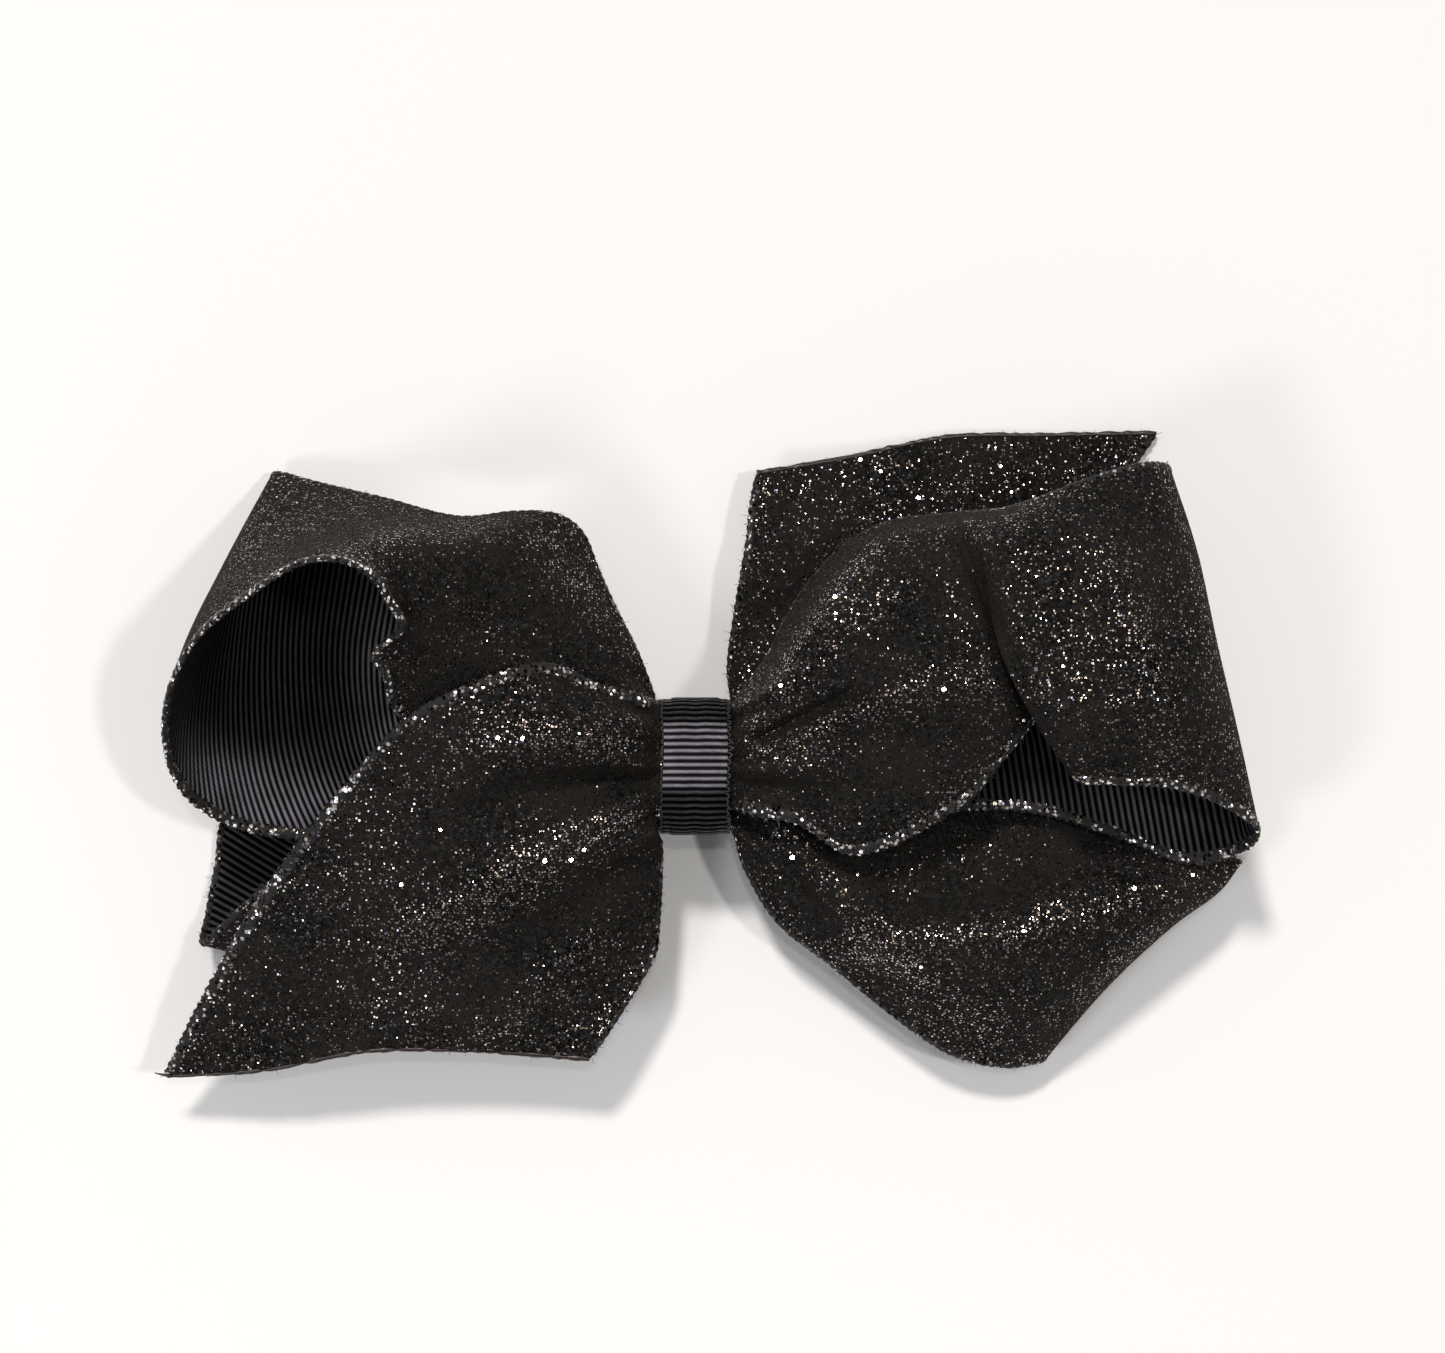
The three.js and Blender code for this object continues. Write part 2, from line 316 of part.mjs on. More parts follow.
// ---- the gathered centre, everything about (KNOT_Y, KNOT_Z) ---------------------------------------
const knot = new THREE.Group();
knot.position.set(KNOT_X, KNOT_Y, 0);
bow.add(knot);
const rounded = (halfY, halfZ, angle) => {
  const c = Math.cos(angle);
  const s = Math.sin(angle);
  const k = Math.pow(Math.pow(Math.abs(c), 2.5) + Math.pow(Math.abs(s), 2.5), -1 / 2.5);
  return [halfY * c * k, KNOT_Z + halfZ * s * k];
};
const ring = (halfY, halfZ, sides) => Array.from({ length: sides }, (_, i) => rounded(halfY, halfZ, (2 * Math.PI * i) / sides));
{
  // the pleated stack, drawn in to a waist where the thread binds it
  const sides = 28;
  const sections = [[-GATHER_HALF_X, 1], [-2.0, 0.97], [-1.5, 0.88], [1.5, 0.88], [2.0, 0.97], [GATHER_HALF_X, 1]];
  const pos = [];
  for (const [x, k] of sections) for (const [y, z] of ring(GATHER_HALF_Y * k, GATHER_HALF_Z * k, sides)) pos.push(x, y, z);
  const index = [];
  const n = sections.length;
  for (let i = 0; i < n - 1; i++) for (let j = 0; j < sides; j++) {
    const a = i * sides + j;
    const b = i * sides + ((j + 1) % sides);
    index.push(a, b, b + sides, a, b + sides, a + sides);
  }
  const c0 = pos.length / 3;
  pos.push(sections[0][0], 0, KNOT_Z, sections[n - 1][0], 0, KNOT_Z);
  for (let j = 0; j < sides; j++) {
    const k = (j + 1) % sides;
    index.push(c0, k, j, c0 + 1, (n - 1) * sides + j, (n - 1) * sides + k);
  }
  const g = new THREE.BufferGeometry();
  g.setAttribute('position', new THREE.Float32BufferAttribute(pos, 3));
  g.setIndex(index);
  if (toSolid(g).volume() < 0) {
    for (let i = 0; i < index.length; i += 3) [index[i + 1], index[i + 2]] = [index[i + 2], index[i + 1]];
    g.setIndex(index);
  }
  add(knot, 'gathered_centre', g, glitter());
}
{
  // three turns of binding thread in the waist
  class Winding extends THREE.Curve {
    getPoint(t, target = new THREE.Vector3()) {
      const turns = 3;
      const [y, z] = rounded(GATHER_HALF_Y * 0.88 + 0.6, GATHER_HALF_Z * 0.88 + 0.6, 2 * Math.PI * turns * t);
      return target.set(-0.95 + 1.9 * t, y, z);
    }
  }
  const section = new THREE.Shape(Array.from({ length: 5 }, (_, i) => new THREE.Vector2(0.2 * Math.cos((2 * Math.PI * i) / 5), 0.2 * Math.sin((2 * Math.PI * i) / 5))));
  add(knot, 'binding_thread', new THREE.ExtrudeGeometry(section, { steps: 72, bevelEnabled: false, extrudePath: new Winding() }), thread());
}
// the wrap: one strip round the gathers, the lining and the upper lever, its ends lapped underneath
const WRAP_IN_Y = GATHER_HALF_Y + 0.35 + WRAP_THICKNESS / 2;
const WRAP_IN_Z = GATHER_HALF_Z + 0.35 + WRAP_THICKNESS / 2;
const wrapPath = [[4.4, 4.45], [-4.6, 4.45], [-5.4, 5.1], [-7.9, 8.4]];
for (let i = 0; i <= 15; i++) {
  const angle = (Math.PI * 199) / 180 - ((Math.PI * 218) / 180) * (i / 15);
  wrapPath.push(rounded(WRAP_IN_Y, WRAP_IN_Z, angle));
}
wrapPath.push([7.9, 8.0], [6.2, 4.6], [5.2, 3.35], [3.6, 2.95], [-3.4, 2.95]);
add(knot, 'centre_wrap', profileYZ(stripOutline(wrapPath, WRAP_THICKNESS), -WRAP_WIDTH / 2, WRAP_WIDTH / 2), grosgrain());
add(knot, 'wrap_glue', box(-3.8, 3.8, -2.6, 3.0, 3.57, 3.83), glue());
add(knot, 'clip_glue_pad', box(-4.3, 4.3, -3.1, 3.1, 7.75, 8.3), glue());

// ---- the alligator clip --------------------------------------------------------------------------
const clip = new THREE.Group();
clip.position.set(CLIP_X, KNOT_Y, 0);
bow.add(clip);
const T = CLIP_LEVER_THICKNESS;
const HALF = CLIP_WIDTH / 2;
const disc = (radius, y0, y1) => rod(radius, y0, y1, PIVOT_X, PIVOT_Z, 20);
{
  // upper lever: a flat strip with rounded ends and two ears folded down to the pin
  const corner = 2.2;
  const s = new THREE.Shape();
  s.moveTo(JAW_TIP_X + corner, -HALF);
  s.lineTo(THUMB_END_X - corner, -HALF);
  s.absarc(THUMB_END_X - corner, -HALF + corner, corner, -Math.PI / 2, 0, false);
  s.absarc(THUMB_END_X - corner, HALF - corner, corner, 0, Math.PI / 2, false);
  s.lineTo(JAW_TIP_X + corner, HALF);
  s.absarc(JAW_TIP_X + corner, HALF - corner, corner, Math.PI / 2, Math.PI, false);
  s.absarc(JAW_TIP_X + corner, -HALF + corner, corner, Math.PI, 1.5 * Math.PI, false);
  let lever = toSolid(new THREE.ExtrudeGeometry(s, { depth: T, bevelEnabled: false, curveSegments: 5 }).translate(0, 0, CLIP_PLATE_Z));
  for (const side of [-1, 1]) {
    const y0 = side > 0 ? HALF - 0.6 : -HALF;
    const y1 = y0 + 0.6;
    lever = lever.add(toSolid(box(PIVOT_X - 1.7, PIVOT_X + 1.7, y0, y1, PIVOT_Z, CLIP_PLATE_Z + T / 2))).add(toSolid(disc(1.7, y0, y1)));
  }
  lever = lever.subtract(toSolid(disc(PIN_HOLE_RADIUS, -HALF - 1, HALF + 1)));
  add(clip, 'clip_upper_lever', fromSolid(lever), steel());
}
{
  // lower lever: bowed clear of the wrap, teeth at the tip, thumb tab at the other end
  const mid = [[JAW_TIP_X, 4.35], [-23.2, 3.55], [-14.2, 3.45], [-11.6, 2.1], [-9.0, 1.25], [13.0, 1.25], [THUMB_END_X, 0.35]];
  let lever = toSolid(profileXZ(stripOutline(mid, T), -2.7, 2.7));
  const tab = [[11.4, 1.25], [13.0, 1.25], [THUMB_END_X, 0.35]];
  lever = lever.add(toSolid(profileXZ(stripOutline(tab, T), -HALF, HALF)));
  for (const side of [-1, 1]) {
    const y0 = side > 0 ? 2.1 : -2.7;
    lever = lever.add(toSolid(box(PIVOT_X - 1.6, PIVOT_X + 1.6, y0, y0 + 0.6, 1.2, PIVOT_Z))).add(toSolid(disc(1.6, y0, y0 + 0.6)));
  }
  for (let i = 0; i < 3; i++) lever = lever.subtract(toSolid(box(JAW_TIP_X - 0.5, JAW_TIP_X + 0.75, -2.05 + i * 1.6, -1.15 + i * 1.6, 3.2, 5.6)));
  lever = lever.subtract(toSolid(disc(PIN_HOLE_RADIUS, -HALF, HALF)));
  add(clip, 'clip_lower_lever', fromSolid(lever), steel());
}
{
  // pin with two peened heads
  const h = HALF + 0.32;
  const profile = [[0, -h - 0.45], [1.15, -h - 0.45], [1.15, -h], [PIN_RADIUS, -h], [PIN_RADIUS, h], [1.15, h], [1.15, h + 0.45], [0, h + 0.45]];
  const pin = new THREE.LatheGeometry(profile.map(([r, y]) => new THREE.Vector2(r, y)), 16);
  add(clip, 'clip_hinge_pin', fromSolid(toSolid(pin).translate([PIVOT_X, 0, PIVOT_Z])), steel());
}
{
  // torsion spring: a coil round the pin, one leg against each lever
  const legX = PIVOT_X + 6.2;
  const points = [];
  points.push(new THREE.Vector3(legX, -1.3, PIVOT_Z + 1.55), new THREE.Vector3(PIVOT_X + 3.2, -1.25, PIVOT_Z + 1.5));
  const turns = 2.5;
  const count = 30;
  for (let i = 0; i <= count; i++) {
    const a = Math.PI / 2 + 2 * Math.PI * turns * (i / count);
    points.push(new THREE.Vector3(PIVOT_X + SPRING_RADIUS * Math.cos(a), -1.2 + 2.4 * (i / count), PIVOT_Z + SPRING_RADIUS * Math.sin(a)));
  }
  points.push(new THREE.Vector3(PIVOT_X + 3.2, 1.25, PIVOT_Z - 1.42), new THREE.Vector3(legX, 1.3, PIVOT_Z - 1.6));
  const path = new THREE.CatmullRomCurve3(points);
  const r = SPRING_WIRE / 2;
  const section = new THREE.Shape(Array.from({ length: 6 }, (_, i) => new THREE.Vector2(r * Math.cos((Math.PI * i) / 3), r * Math.sin((Math.PI * i) / 3))));
  add(clip, 'clip_spring', new THREE.ExtrudeGeometry(section, { steps: 60, bevelEnabled: false, extrudePath: path }), steel());
}
{
  // grosgrain lining folded over the jaw of the upper lever
  const t = 0.4;
  const top = CLIP_PLATE_Z + T + 0.3 + t / 2;
  const low = CLIP_PLATE_Z - 0.3 - t / 2;
  const turn = (top - low) / 2;
  const path = [[THUMB_END_X - 0.6, top], [JAW_TIP_X, top]];
  for (let i = 1; i < 6; i++) {
    const a = Math.PI / 2 + (Math.PI * i) / 6;
    path.push([JAW_TIP_X + turn * Math.cos(a), (top + low) / 2 + turn * Math.sin(a)]);
  }
  path.push([JAW_TIP_X, low], [5.6, low]);
  add(clip, 'clip_lining', profileXZ(stripOutline(path, t), -3.5, 3.5), grosgrain());
}
{
  // ribbed rubber pad on the moving jaw
  let pad = toSolid(box(-23.0, -14.4, -2.4, 2.4, 4.12, 4.55));
  for (let i = 0; i < 5; i++) pad = pad.add(toSolid(box(-22.7 + i * 1.75, -21.9 + i * 1.75, -2.4, 2.4, 4.4, 4.82)));
  add(clip, 'clip_grip_pad', fromSolid(pad), rubber());
}

export default bow;
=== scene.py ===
import bpy
import math
import numpy as np
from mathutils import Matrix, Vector


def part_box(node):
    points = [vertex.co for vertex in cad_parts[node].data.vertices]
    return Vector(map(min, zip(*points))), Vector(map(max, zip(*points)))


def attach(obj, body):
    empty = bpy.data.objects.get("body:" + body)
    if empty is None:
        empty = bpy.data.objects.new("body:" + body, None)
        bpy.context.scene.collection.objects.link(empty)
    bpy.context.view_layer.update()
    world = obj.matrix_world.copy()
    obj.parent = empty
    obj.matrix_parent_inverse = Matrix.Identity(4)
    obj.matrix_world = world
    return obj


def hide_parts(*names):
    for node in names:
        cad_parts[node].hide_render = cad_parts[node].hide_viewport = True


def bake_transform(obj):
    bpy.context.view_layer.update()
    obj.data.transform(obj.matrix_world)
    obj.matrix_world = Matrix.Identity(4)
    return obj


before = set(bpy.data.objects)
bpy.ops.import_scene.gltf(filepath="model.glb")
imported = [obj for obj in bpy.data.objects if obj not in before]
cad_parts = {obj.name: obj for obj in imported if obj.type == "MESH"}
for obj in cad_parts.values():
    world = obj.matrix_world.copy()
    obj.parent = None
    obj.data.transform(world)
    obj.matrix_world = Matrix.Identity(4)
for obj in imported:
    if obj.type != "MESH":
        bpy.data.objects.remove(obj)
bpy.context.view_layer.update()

# All lengths below are millimetres; meshes are written in metres.
MM = 0.001
KNOT = np.array([-1.97, -1.83, 16.0])
RIBBON = 57.0            # the ribbon's cut width
THICK = 0.62             # ribbon, glitter face to grosgrain back
RIB_PITCH = 1.0
UNDER_DECLARED = ("upper_left_loop", "lower_left_loop", "lower_right_loop", "upper_right_tail")
WRAP_WIDTH = 9.5
rng = np.random.default_rng(20417)

# Rails of each lobe: stations along the ribbon, five points from one selvedge to the other.
LOWER_LEFT_TAIL = (
    ((-7.62, 7.46, 17.85), (-7.42, 3.56, 21.55), (-7.40, -1.65, 22.55), (-7.42, -6.91, 21.55), (-7.63, -10.84, 17.45)),
    ((-9.93, 8.06, 20.93), (-10.14, 3.45, 24.73), (-9.86, -1.90, 24.53), (-9.18, -7.75, 22.54), (-6.97, -13.59, 14.95)),
    ((-15.89, 9.67, 25.78), (-16.37, 3.23, 28.95), (-15.60, -4.17, 25.99), (-12.49, -11.20, 23.29), (-6.99, -17.48, 13.45)),
    ((-23.39, 12.70, 29.12), (-24.76, 3.39, 30.53), (-23.06, -6.74, 26.77), (-16.82, -14.94, 23.94), (-7.15, -21.19, 12.95)),
    ((-32.24, 10.40, 29.91), (-33.38, 1.52, 29.99), (-29.98, -10.20, 26.82), (-21.18, -19.31, 23.40), (-7.44, -25.32, 12.95)),
    ((-42.99, 4.96, 29.87), (-43.17, -4.27, 27.57), (-37.85, -15.45, 25.49), (-25.14, -24.30, 22.43), (-7.88, -29.27, 13.44)),
    ((-53.40, -6.20, 25.85), (-51.09, -13.76, 24.35), (-42.71, -22.27, 22.37), (-28.58, -29.95, 20.46), (-9.78, -33.07, 13.93)),
    ((-64.57, -20.78, 20.35), (-58.65, -25.91, 19.85), (-47.51, -30.94, 18.85), (-31.34, -35.97, 18.10), (-12.42, -37.30, 14.40)),
    ((-73.81, -36.05, 15.35), (-65.17, -37.87, 16.35), (-52.85, -39.78, 16.35), (-34.53, -41.11, 16.26), (-14.77, -40.94, 14.84)),
    ((-80.09, -47.71, 10.35), (-65.52, -46.53, 13.35), (-50.16, -43.54, 15.35), (-34.03, -43.59, 14.82), (-17.43, -44.82, 14.22)),
)
UPPER_LEFT_LOOP = (
    ((-7.66, -10.62, 15.55), (-7.61, -6.71, 18.75), (-7.59, -1.72, 19.75), (-7.61, 3.08, 18.85), (-7.67, 6.85, 14.95)),
    ((-14.36, -7.29, 18.85), (-13.71, -3.43, 21.17), (-12.52, 1.24, 22.09), (-10.52, 5.58, 20.53), (-8.30, 9.05, 14.74)),
    ((-24.53, -2.58, 20.03), (-22.64, 2.42, 23.24), (-19.69, 7.07, 24.54), (-15.70, 11.70, 22.79), (-10.68, 15.24, 13.43)),
    ((-35.32, 2.11, 22.16), (-31.82, 8.80, 24.79), (-26.82, 14.29, 26.67), (-20.60, 18.94, 23.46), (-14.10, 22.04, 12.36)),
    ((-43.88, 5.63, 25.86), (-38.50, 13.13, 28.45), (-31.89, 19.73, 28.56), (-24.34, 24.72, 24.03), (-16.50, 27.38, 11.27)),
    ((-45.73, 11.40, 31.35), (-40.79, 18.25, 32.39), (-34.34, 24.28, 30.70), (-26.97, 29.36, 23.67), (-18.70, 32.55, 11.65)),
    ((-44.56, 18.20, 36.85), (-42.27, 23.89, 35.37), (-37.14, 28.55, 31.50), (-30.23, 32.31, 22.22), (-22.50, 35.16, 12.81)),
    ((-46.01, 24.18, 41.35), (-44.17, 27.55, 36.36), (-40.59, 30.76, 29.40), (-35.30, 33.12, 20.17), (-28.54, 35.45, 13.02)),
    ((-50.64, 27.46, 44.35), (-49.23, 29.80, 36.85), (-46.60, 31.96, 27.85), (-43.27, 33.89, 18.87), (-37.04, 34.77, 11.59)),
    ((-56.92, 27.18, 44.35), (-55.93, 29.53, 36.35), (-53.98, 31.84, 27.35), (-51.64, 34.50, 18.35), (-48.32, 37.68, 9.35)),
    ((-63.50, 23.46, 41.85), (-62.96, 27.04, 34.35), (-61.91, 30.59, 25.85), (-60.57, 34.71, 16.85), (-57.92, 40.02, 6.85)),
    ((-72.08, 17.21, 36.35), (-71.13, 22.16, 29.35), (-69.40, 27.98, 21.35), (-67.26, 34.74, 12.35), (-64.68, 41.82, 3.75)),
    ((-76.95, 9.40, 30.85), (-75.46, 15.89, 23.85), (-72.80, 22.99, 16.35), (-69.22, 31.18, 8.35), (-64.49, 40.29, 1.35)),
    ((-78.29, 1.44, 25.35), (-75.98, 8.63, 18.85), (-72.64, 16.73, 11.85), (-68.23, 26.35, 5.35), (-61.87, 37.17, 0.55)),
    ((-76.01, -5.48, 20.85), (-73.14, 2.73, 14.85), (-69.14, 11.70, 8.95), (-63.88, 22.19, 4.15), (-57.05, 33.10, 0.55)),
    ((-69.74, -9.97, 17.35), (-66.84, -1.30, 12.15), (-62.64, 7.83, 7.35), (-57.66, 17.70, 3.55), (-50.52, 28.56, 1.15)),
    ((-61.40, -11.78, 15.95), (-58.90, -3.37, 11.75), (-55.43, 5.16, 7.95), (-50.95, 14.10, 4.75), (-43.94, 24.02, 2.58)),
    ((-49.72, -12.39, 15.35), (-48.16, -5.41, 12.95), (-45.70, 1.93, 10.56), (-41.75, 9.92, 7.80), (-35.64, 18.58, 5.72)),
    ((-35.01, -12.39, 15.52), (-34.15, -6.82, 15.20), (-32.44, -0.95, 14.39), (-29.56, 5.80, 13.18), (-24.91, 12.89, 11.63)),
    ((-19.61, -11.82, 14.97), (-19.11, -7.06, 16.81), (-18.50, -2.07, 17.25), (-17.07, 2.90, 16.34), (-14.49, 8.17, 14.05)),
    ((-7.69, -10.41, 13.35), (-7.65, -6.65, 15.95), (-7.64, -1.78, 16.95), (-7.65, 2.90, 16.15), (-7.69, 6.69, 13.35)),
)
LOWER_LEFT_LOOP = (
    ((-7.73, 6.08, 10.95), (-7.69, 2.56, 13.25), (-7.68, -1.84, 14.15), (-7.69, -6.29, 13.25), (-7.73, -9.91, 10.85)),
    ((-16.04, 4.61, 11.59), (-15.38, -0.37, 14.02), (-14.21, -5.39, 13.76), (-12.48, -9.86, 12.30), (-9.87, -13.52, 9.53)),
    ((-27.89, 0.16, 11.23), (-26.33, -6.30, 12.83), (-23.66, -12.19, 13.17), (-19.56, -16.65, 12.38), (-14.59, -19.69, 10.65)),
    ((-41.19, -5.45, 11.41), (-38.79, -12.83, 11.89), (-34.34, -19.02, 12.20), (-28.17, -23.78, 11.58), (-20.21, -26.50, 10.74)),
    ((-53.71, -11.94, 11.95), (-50.02, -19.03, 11.95), (-44.14, -25.26, 11.57), (-36.21, -30.36, 10.65), (-26.46, -33.05, 10.23)),
    ((-64.50, -19.03, 11.95), (-59.50, -24.36, 11.75), (-52.18, -29.74, 10.95), (-43.09, -34.87, 9.78), (-30.96, -38.18, 9.22)),
    ((-72.01, -25.60, 10.95), (-66.14, -28.88, 10.55), (-57.35, -33.40, 9.55), (-46.77, -38.55, 8.36), (-32.86, -41.62, 7.19)),
    ((-75.50, -28.38, 6.95), (-68.96, -30.33, 6.75), (-59.46, -34.84, 6.35), (-48.18, -39.96, 5.75), (-33.59, -42.72, 4.93)),
    ((-75.27, -24.45, 2.95), (-68.22, -27.90, 2.95), (-58.62, -32.70, 2.95), (-47.23, -37.82, 2.76), (-32.82, -40.51, 2.83)),
    ((-74.12, -17.47, 1.35), (-66.07, -22.32, 0.75), (-56.13, -27.74, 0.75), (-44.98, -32.56, 0.77), (-30.77, -35.78, 1.90)),
    ((-72.14, -9.00, 2.75), (-62.71, -15.08, 1.15), (-52.21, -21.12, 0.75), (-41.67, -26.23, 0.82), (-28.02, -29.42, 2.67)),
    ((-62.56, -2.34, 5.35), (-53.85, -9.01, 2.55), (-43.70, -14.75, 1.78), (-34.35, -19.23, 2.26), (-23.15, -21.53, 4.28)),
    ((-47.45, 1.58, 7.35), (-40.18, -4.44, 4.85), (-32.11, -9.53, 4.70), (-25.20, -13.39, 5.43), (-17.40, -15.45, 6.14)),
    ((-31.04, 3.67, 7.82), (-26.54, -0.78, 8.63), (-21.47, -5.52, 9.03), (-17.32, -9.10, 8.74), (-12.59, -11.52, 7.50)),
    ((-17.60, 4.87, 9.12), (-15.77, 1.34, 10.81), (-13.99, -2.80, 11.07), (-11.93, -6.67, 10.31), (-9.60, -9.71, 8.14)),
    ((-7.77, 5.46, 8.75), (-7.73, 2.23, 10.75), (-7.72, -1.90, 11.55), (-7.73, -6.07, 10.75), (-7.77, -9.10, 8.75)),
)
UPPER_RIGHT_LOOP = (
    ((3.72, 7.31, 17.35), (3.71, 3.26, 21.15), (3.71, -0.78, 22.55), (3.71, -4.58, 21.75), (3.86, -7.57, 19.15)),
    ((5.22, 9.36, 17.14), (5.76, 4.45, 23.53), (6.33, -0.15, 25.13), (6.63, -4.51, 24.13), (7.23, -8.22, 21.52)),
    ((8.76, 14.35, 14.49), (9.22, 9.38, 25.28), (10.91, 3.35, 27.83), (12.37, -3.00, 26.57), (13.30, -9.61, 23.12)),
    ((12.01, 20.83, 13.99), (13.23, 15.44, 26.72), (15.74, 7.11, 30.54), (17.77, -1.50, 29.34), (19.92, -13.75, 24.70)),
    ((16.13, 26.72, 14.14), (17.81, 21.75, 27.94), (21.11, 11.40, 32.51), (24.31, -0.04, 30.86), (26.22, -12.53, 26.22)),
    ((21.12, 31.41, 14.59), (22.96, 26.91, 28.67), (26.76, 15.10, 33.70), (29.99, 2.27, 31.75), (32.23, -9.32, 27.19)),
    ((26.96, 34.02, 15.58), (28.38, 30.05, 29.33), (32.12, 17.66, 34.57), (35.37, 5.70, 32.43), (37.96, -5.42, 27.58)),
    ((33.02, 34.82, 17.57), (34.06, 31.15, 30.48), (37.51, 18.22, 34.78), (41.08, 8.84, 32.36), (42.85, 0.47, 27.55)),
    ((38.93, 35.25, 21.37), (39.08, 31.37, 32.37), (42.41, 16.53, 33.75), (46.30, 9.40, 31.35), (47.55, 5.64, 26.35)),
    ((42.21, 35.42, 24.35), (41.54, 30.75, 33.95), (43.82, 15.96, 33.95), (48.33, 7.40, 30.95), (51.26, 6.80, 26.75)),
    ((44.92, 36.04, 26.75), (43.15, 30.70, 35.35), (42.51, 16.50, 36.35), (48.08, 5.71, 33.95), (51.85, 2.52, 29.95)),
    ((48.22, 37.10, 28.75), (46.44, 29.94, 36.75), (43.18, 15.78, 38.75), (47.27, 4.05, 36.95), (52.14, -2.84, 33.15)),
    ((52.64, 38.87, 30.75), (51.73, 29.21, 37.75), (49.34, 15.07, 39.35), (52.24, 4.06, 38.35), (58.06, -3.54, 33.75)),
    ((57.73, 40.55, 31.35), (58.27, 29.22, 37.35), (58.43, 15.78, 38.55), (61.88, 4.91, 37.95), (65.55, -3.98, 32.95)),
    ((62.73, 41.77, 29.95), (64.30, 30.04, 33.95), (66.39, 16.51, 35.55), (69.87, 4.59, 34.95), (72.09, -5.90, 30.75)),
    ((66.11, 41.73, 25.35), (69.22, 29.79, 28.35), (71.90, 16.56, 29.95), (75.18, 3.23, 28.95), (77.77, -8.91, 26.75)),
    ((66.57, 41.14, 19.95), (70.56, 29.42, 21.95), (73.14, 16.33, 23.35), (76.55, 2.12, 22.75), (79.71, -11.25, 21.95)),
    ((64.47, 39.57, 16.35), (68.76, 28.10, 17.35), (71.28, 15.21, 18.35), (74.83, 0.58, 17.95), (77.81, -13.77, 17.55)),
    ((59.06, 37.00, 14.75), (63.11, 24.92, 15.35), (65.13, 11.99, 15.75), (67.77, -1.81, 15.75), (70.02, -15.42, 16.55)),
    ((51.15, 32.89, 14.35), (54.35, 21.11, 14.75), (56.37, 9.35, 15.15), (58.43, -2.11, 15.15), (60.04, -11.75, 16.75)),
    ((40.70, 27.59, 14.36), (42.87, 17.29, 14.95), (44.56, 7.88, 15.95), (45.97, -0.61, 16.75), (47.06, -7.91, 17.75)),
    ((28.17, 21.70, 14.83), (29.59, 13.46, 15.86), (30.72, 6.13, 16.75), (31.85, -0.89, 17.65), (32.41, -7.60, 18.21)),
    ((15.65, 14.34, 15.57), (16.62, 8.48, 18.08), (17.46, 3.24, 19.40), (18.04, -2.01, 19.54), (18.35, -7.58, 18.91)),
    ((4.02, 6.70, 14.75), (4.01, 2.93, 18.35), (4.01, -0.85, 19.55), (4.01, -4.65, 18.95), (4.01, -7.65, 16.55)),
)
LOWER_RIGHT_LOOP = (
    ((3.73, 6.38, 11.95), (3.72, 1.99, 14.75), (3.72, -2.39, 15.95), (3.58, -6.82, 14.95), (3.43, -11.19, 12.35)),
    ((12.04, 6.68, 12.19), (11.12, 1.40, 14.63), (9.92, -4.15, 15.87), (7.87, -10.33, 15.51), (5.40, -16.99, 11.34)),
    ((23.89, 5.79, 11.43), (22.03, -1.56, 13.67), (19.32, -9.44, 15.81), (14.85, -17.23, 18.63), (10.28, -24.97, 11.46)),
    ((35.77, 3.70, 10.45), (33.27, -4.82, 12.97), (29.23, -14.07, 17.29), (23.57, -23.57, 20.03), (18.28, -31.37, 10.94)),
    ((47.59, 0.16, 10.95), (44.42, -7.74, 13.75), (39.98, -18.11, 18.57), (33.47, -29.39, 20.13), (27.20, -38.71, 9.98)),
    ((59.33, -4.85, 11.95), (55.86, -12.43, 14.35), (50.70, -20.67, 19.75), (43.95, -31.71, 20.35), (35.56, -44.43, 9.07)),
    ((68.47, -9.86, 12.15), (64.54, -16.49, 15.75), (58.86, -23.30, 19.75), (51.35, -32.98, 18.95), (43.35, -46.61, 7.95)),
    ((75.83, -14.29, 12.35), (71.59, -18.54, 15.75), (65.20, -24.00, 17.75), (57.22, -32.65, 15.55), (48.85, -46.19, 6.15)),
    ((78.67, -16.12, 10.95), (74.97, -20.50, 12.15), (68.20, -25.53, 11.95), (58.95, -34.57, 9.75), (50.12, -45.86, 3.35)),
    ((76.51, -14.22, 6.95), (73.87, -19.01, 6.55), (67.40, -24.73, 5.75), (57.97, -33.20, 4.35), (49.23, -44.25, 1.35)),
    ((69.83, -9.81, 5.35), (66.08, -15.54, 4.15), (59.31, -21.60, 2.95), (50.37, -29.45, 2.15), (41.15, -39.19, 0.77)),
    ((59.97, -4.13, 5.35), (55.65, -10.77, 3.55), (48.85, -17.43, 2.35), (40.78, -24.67, 1.77), (32.08, -32.52, 1.30)),
    ((47.97, 0.36, 5.95), (43.90, -6.55, 4.35), (37.99, -13.49, 3.20), (30.80, -19.80, 3.00), (23.29, -25.77, 3.35)),
    ((35.20, 3.07, 7.48), (32.06, -3.18, 7.67), (27.29, -9.13, 7.78), (21.65, -14.51, 7.35), (16.32, -19.62, 6.34)),
    ((20.68, 4.59, 9.86), (19.16, -0.43, 11.14), (16.19, -5.44, 11.74), (12.65, -10.20, 10.97), (9.72, -14.74, 8.87)),
    ((3.73, 5.78, 10.35), (3.73, 1.66, 12.55), (3.73, -2.45, 13.55), (3.73, -6.60, 12.55), (3.73, -10.53, 10.15)),
)
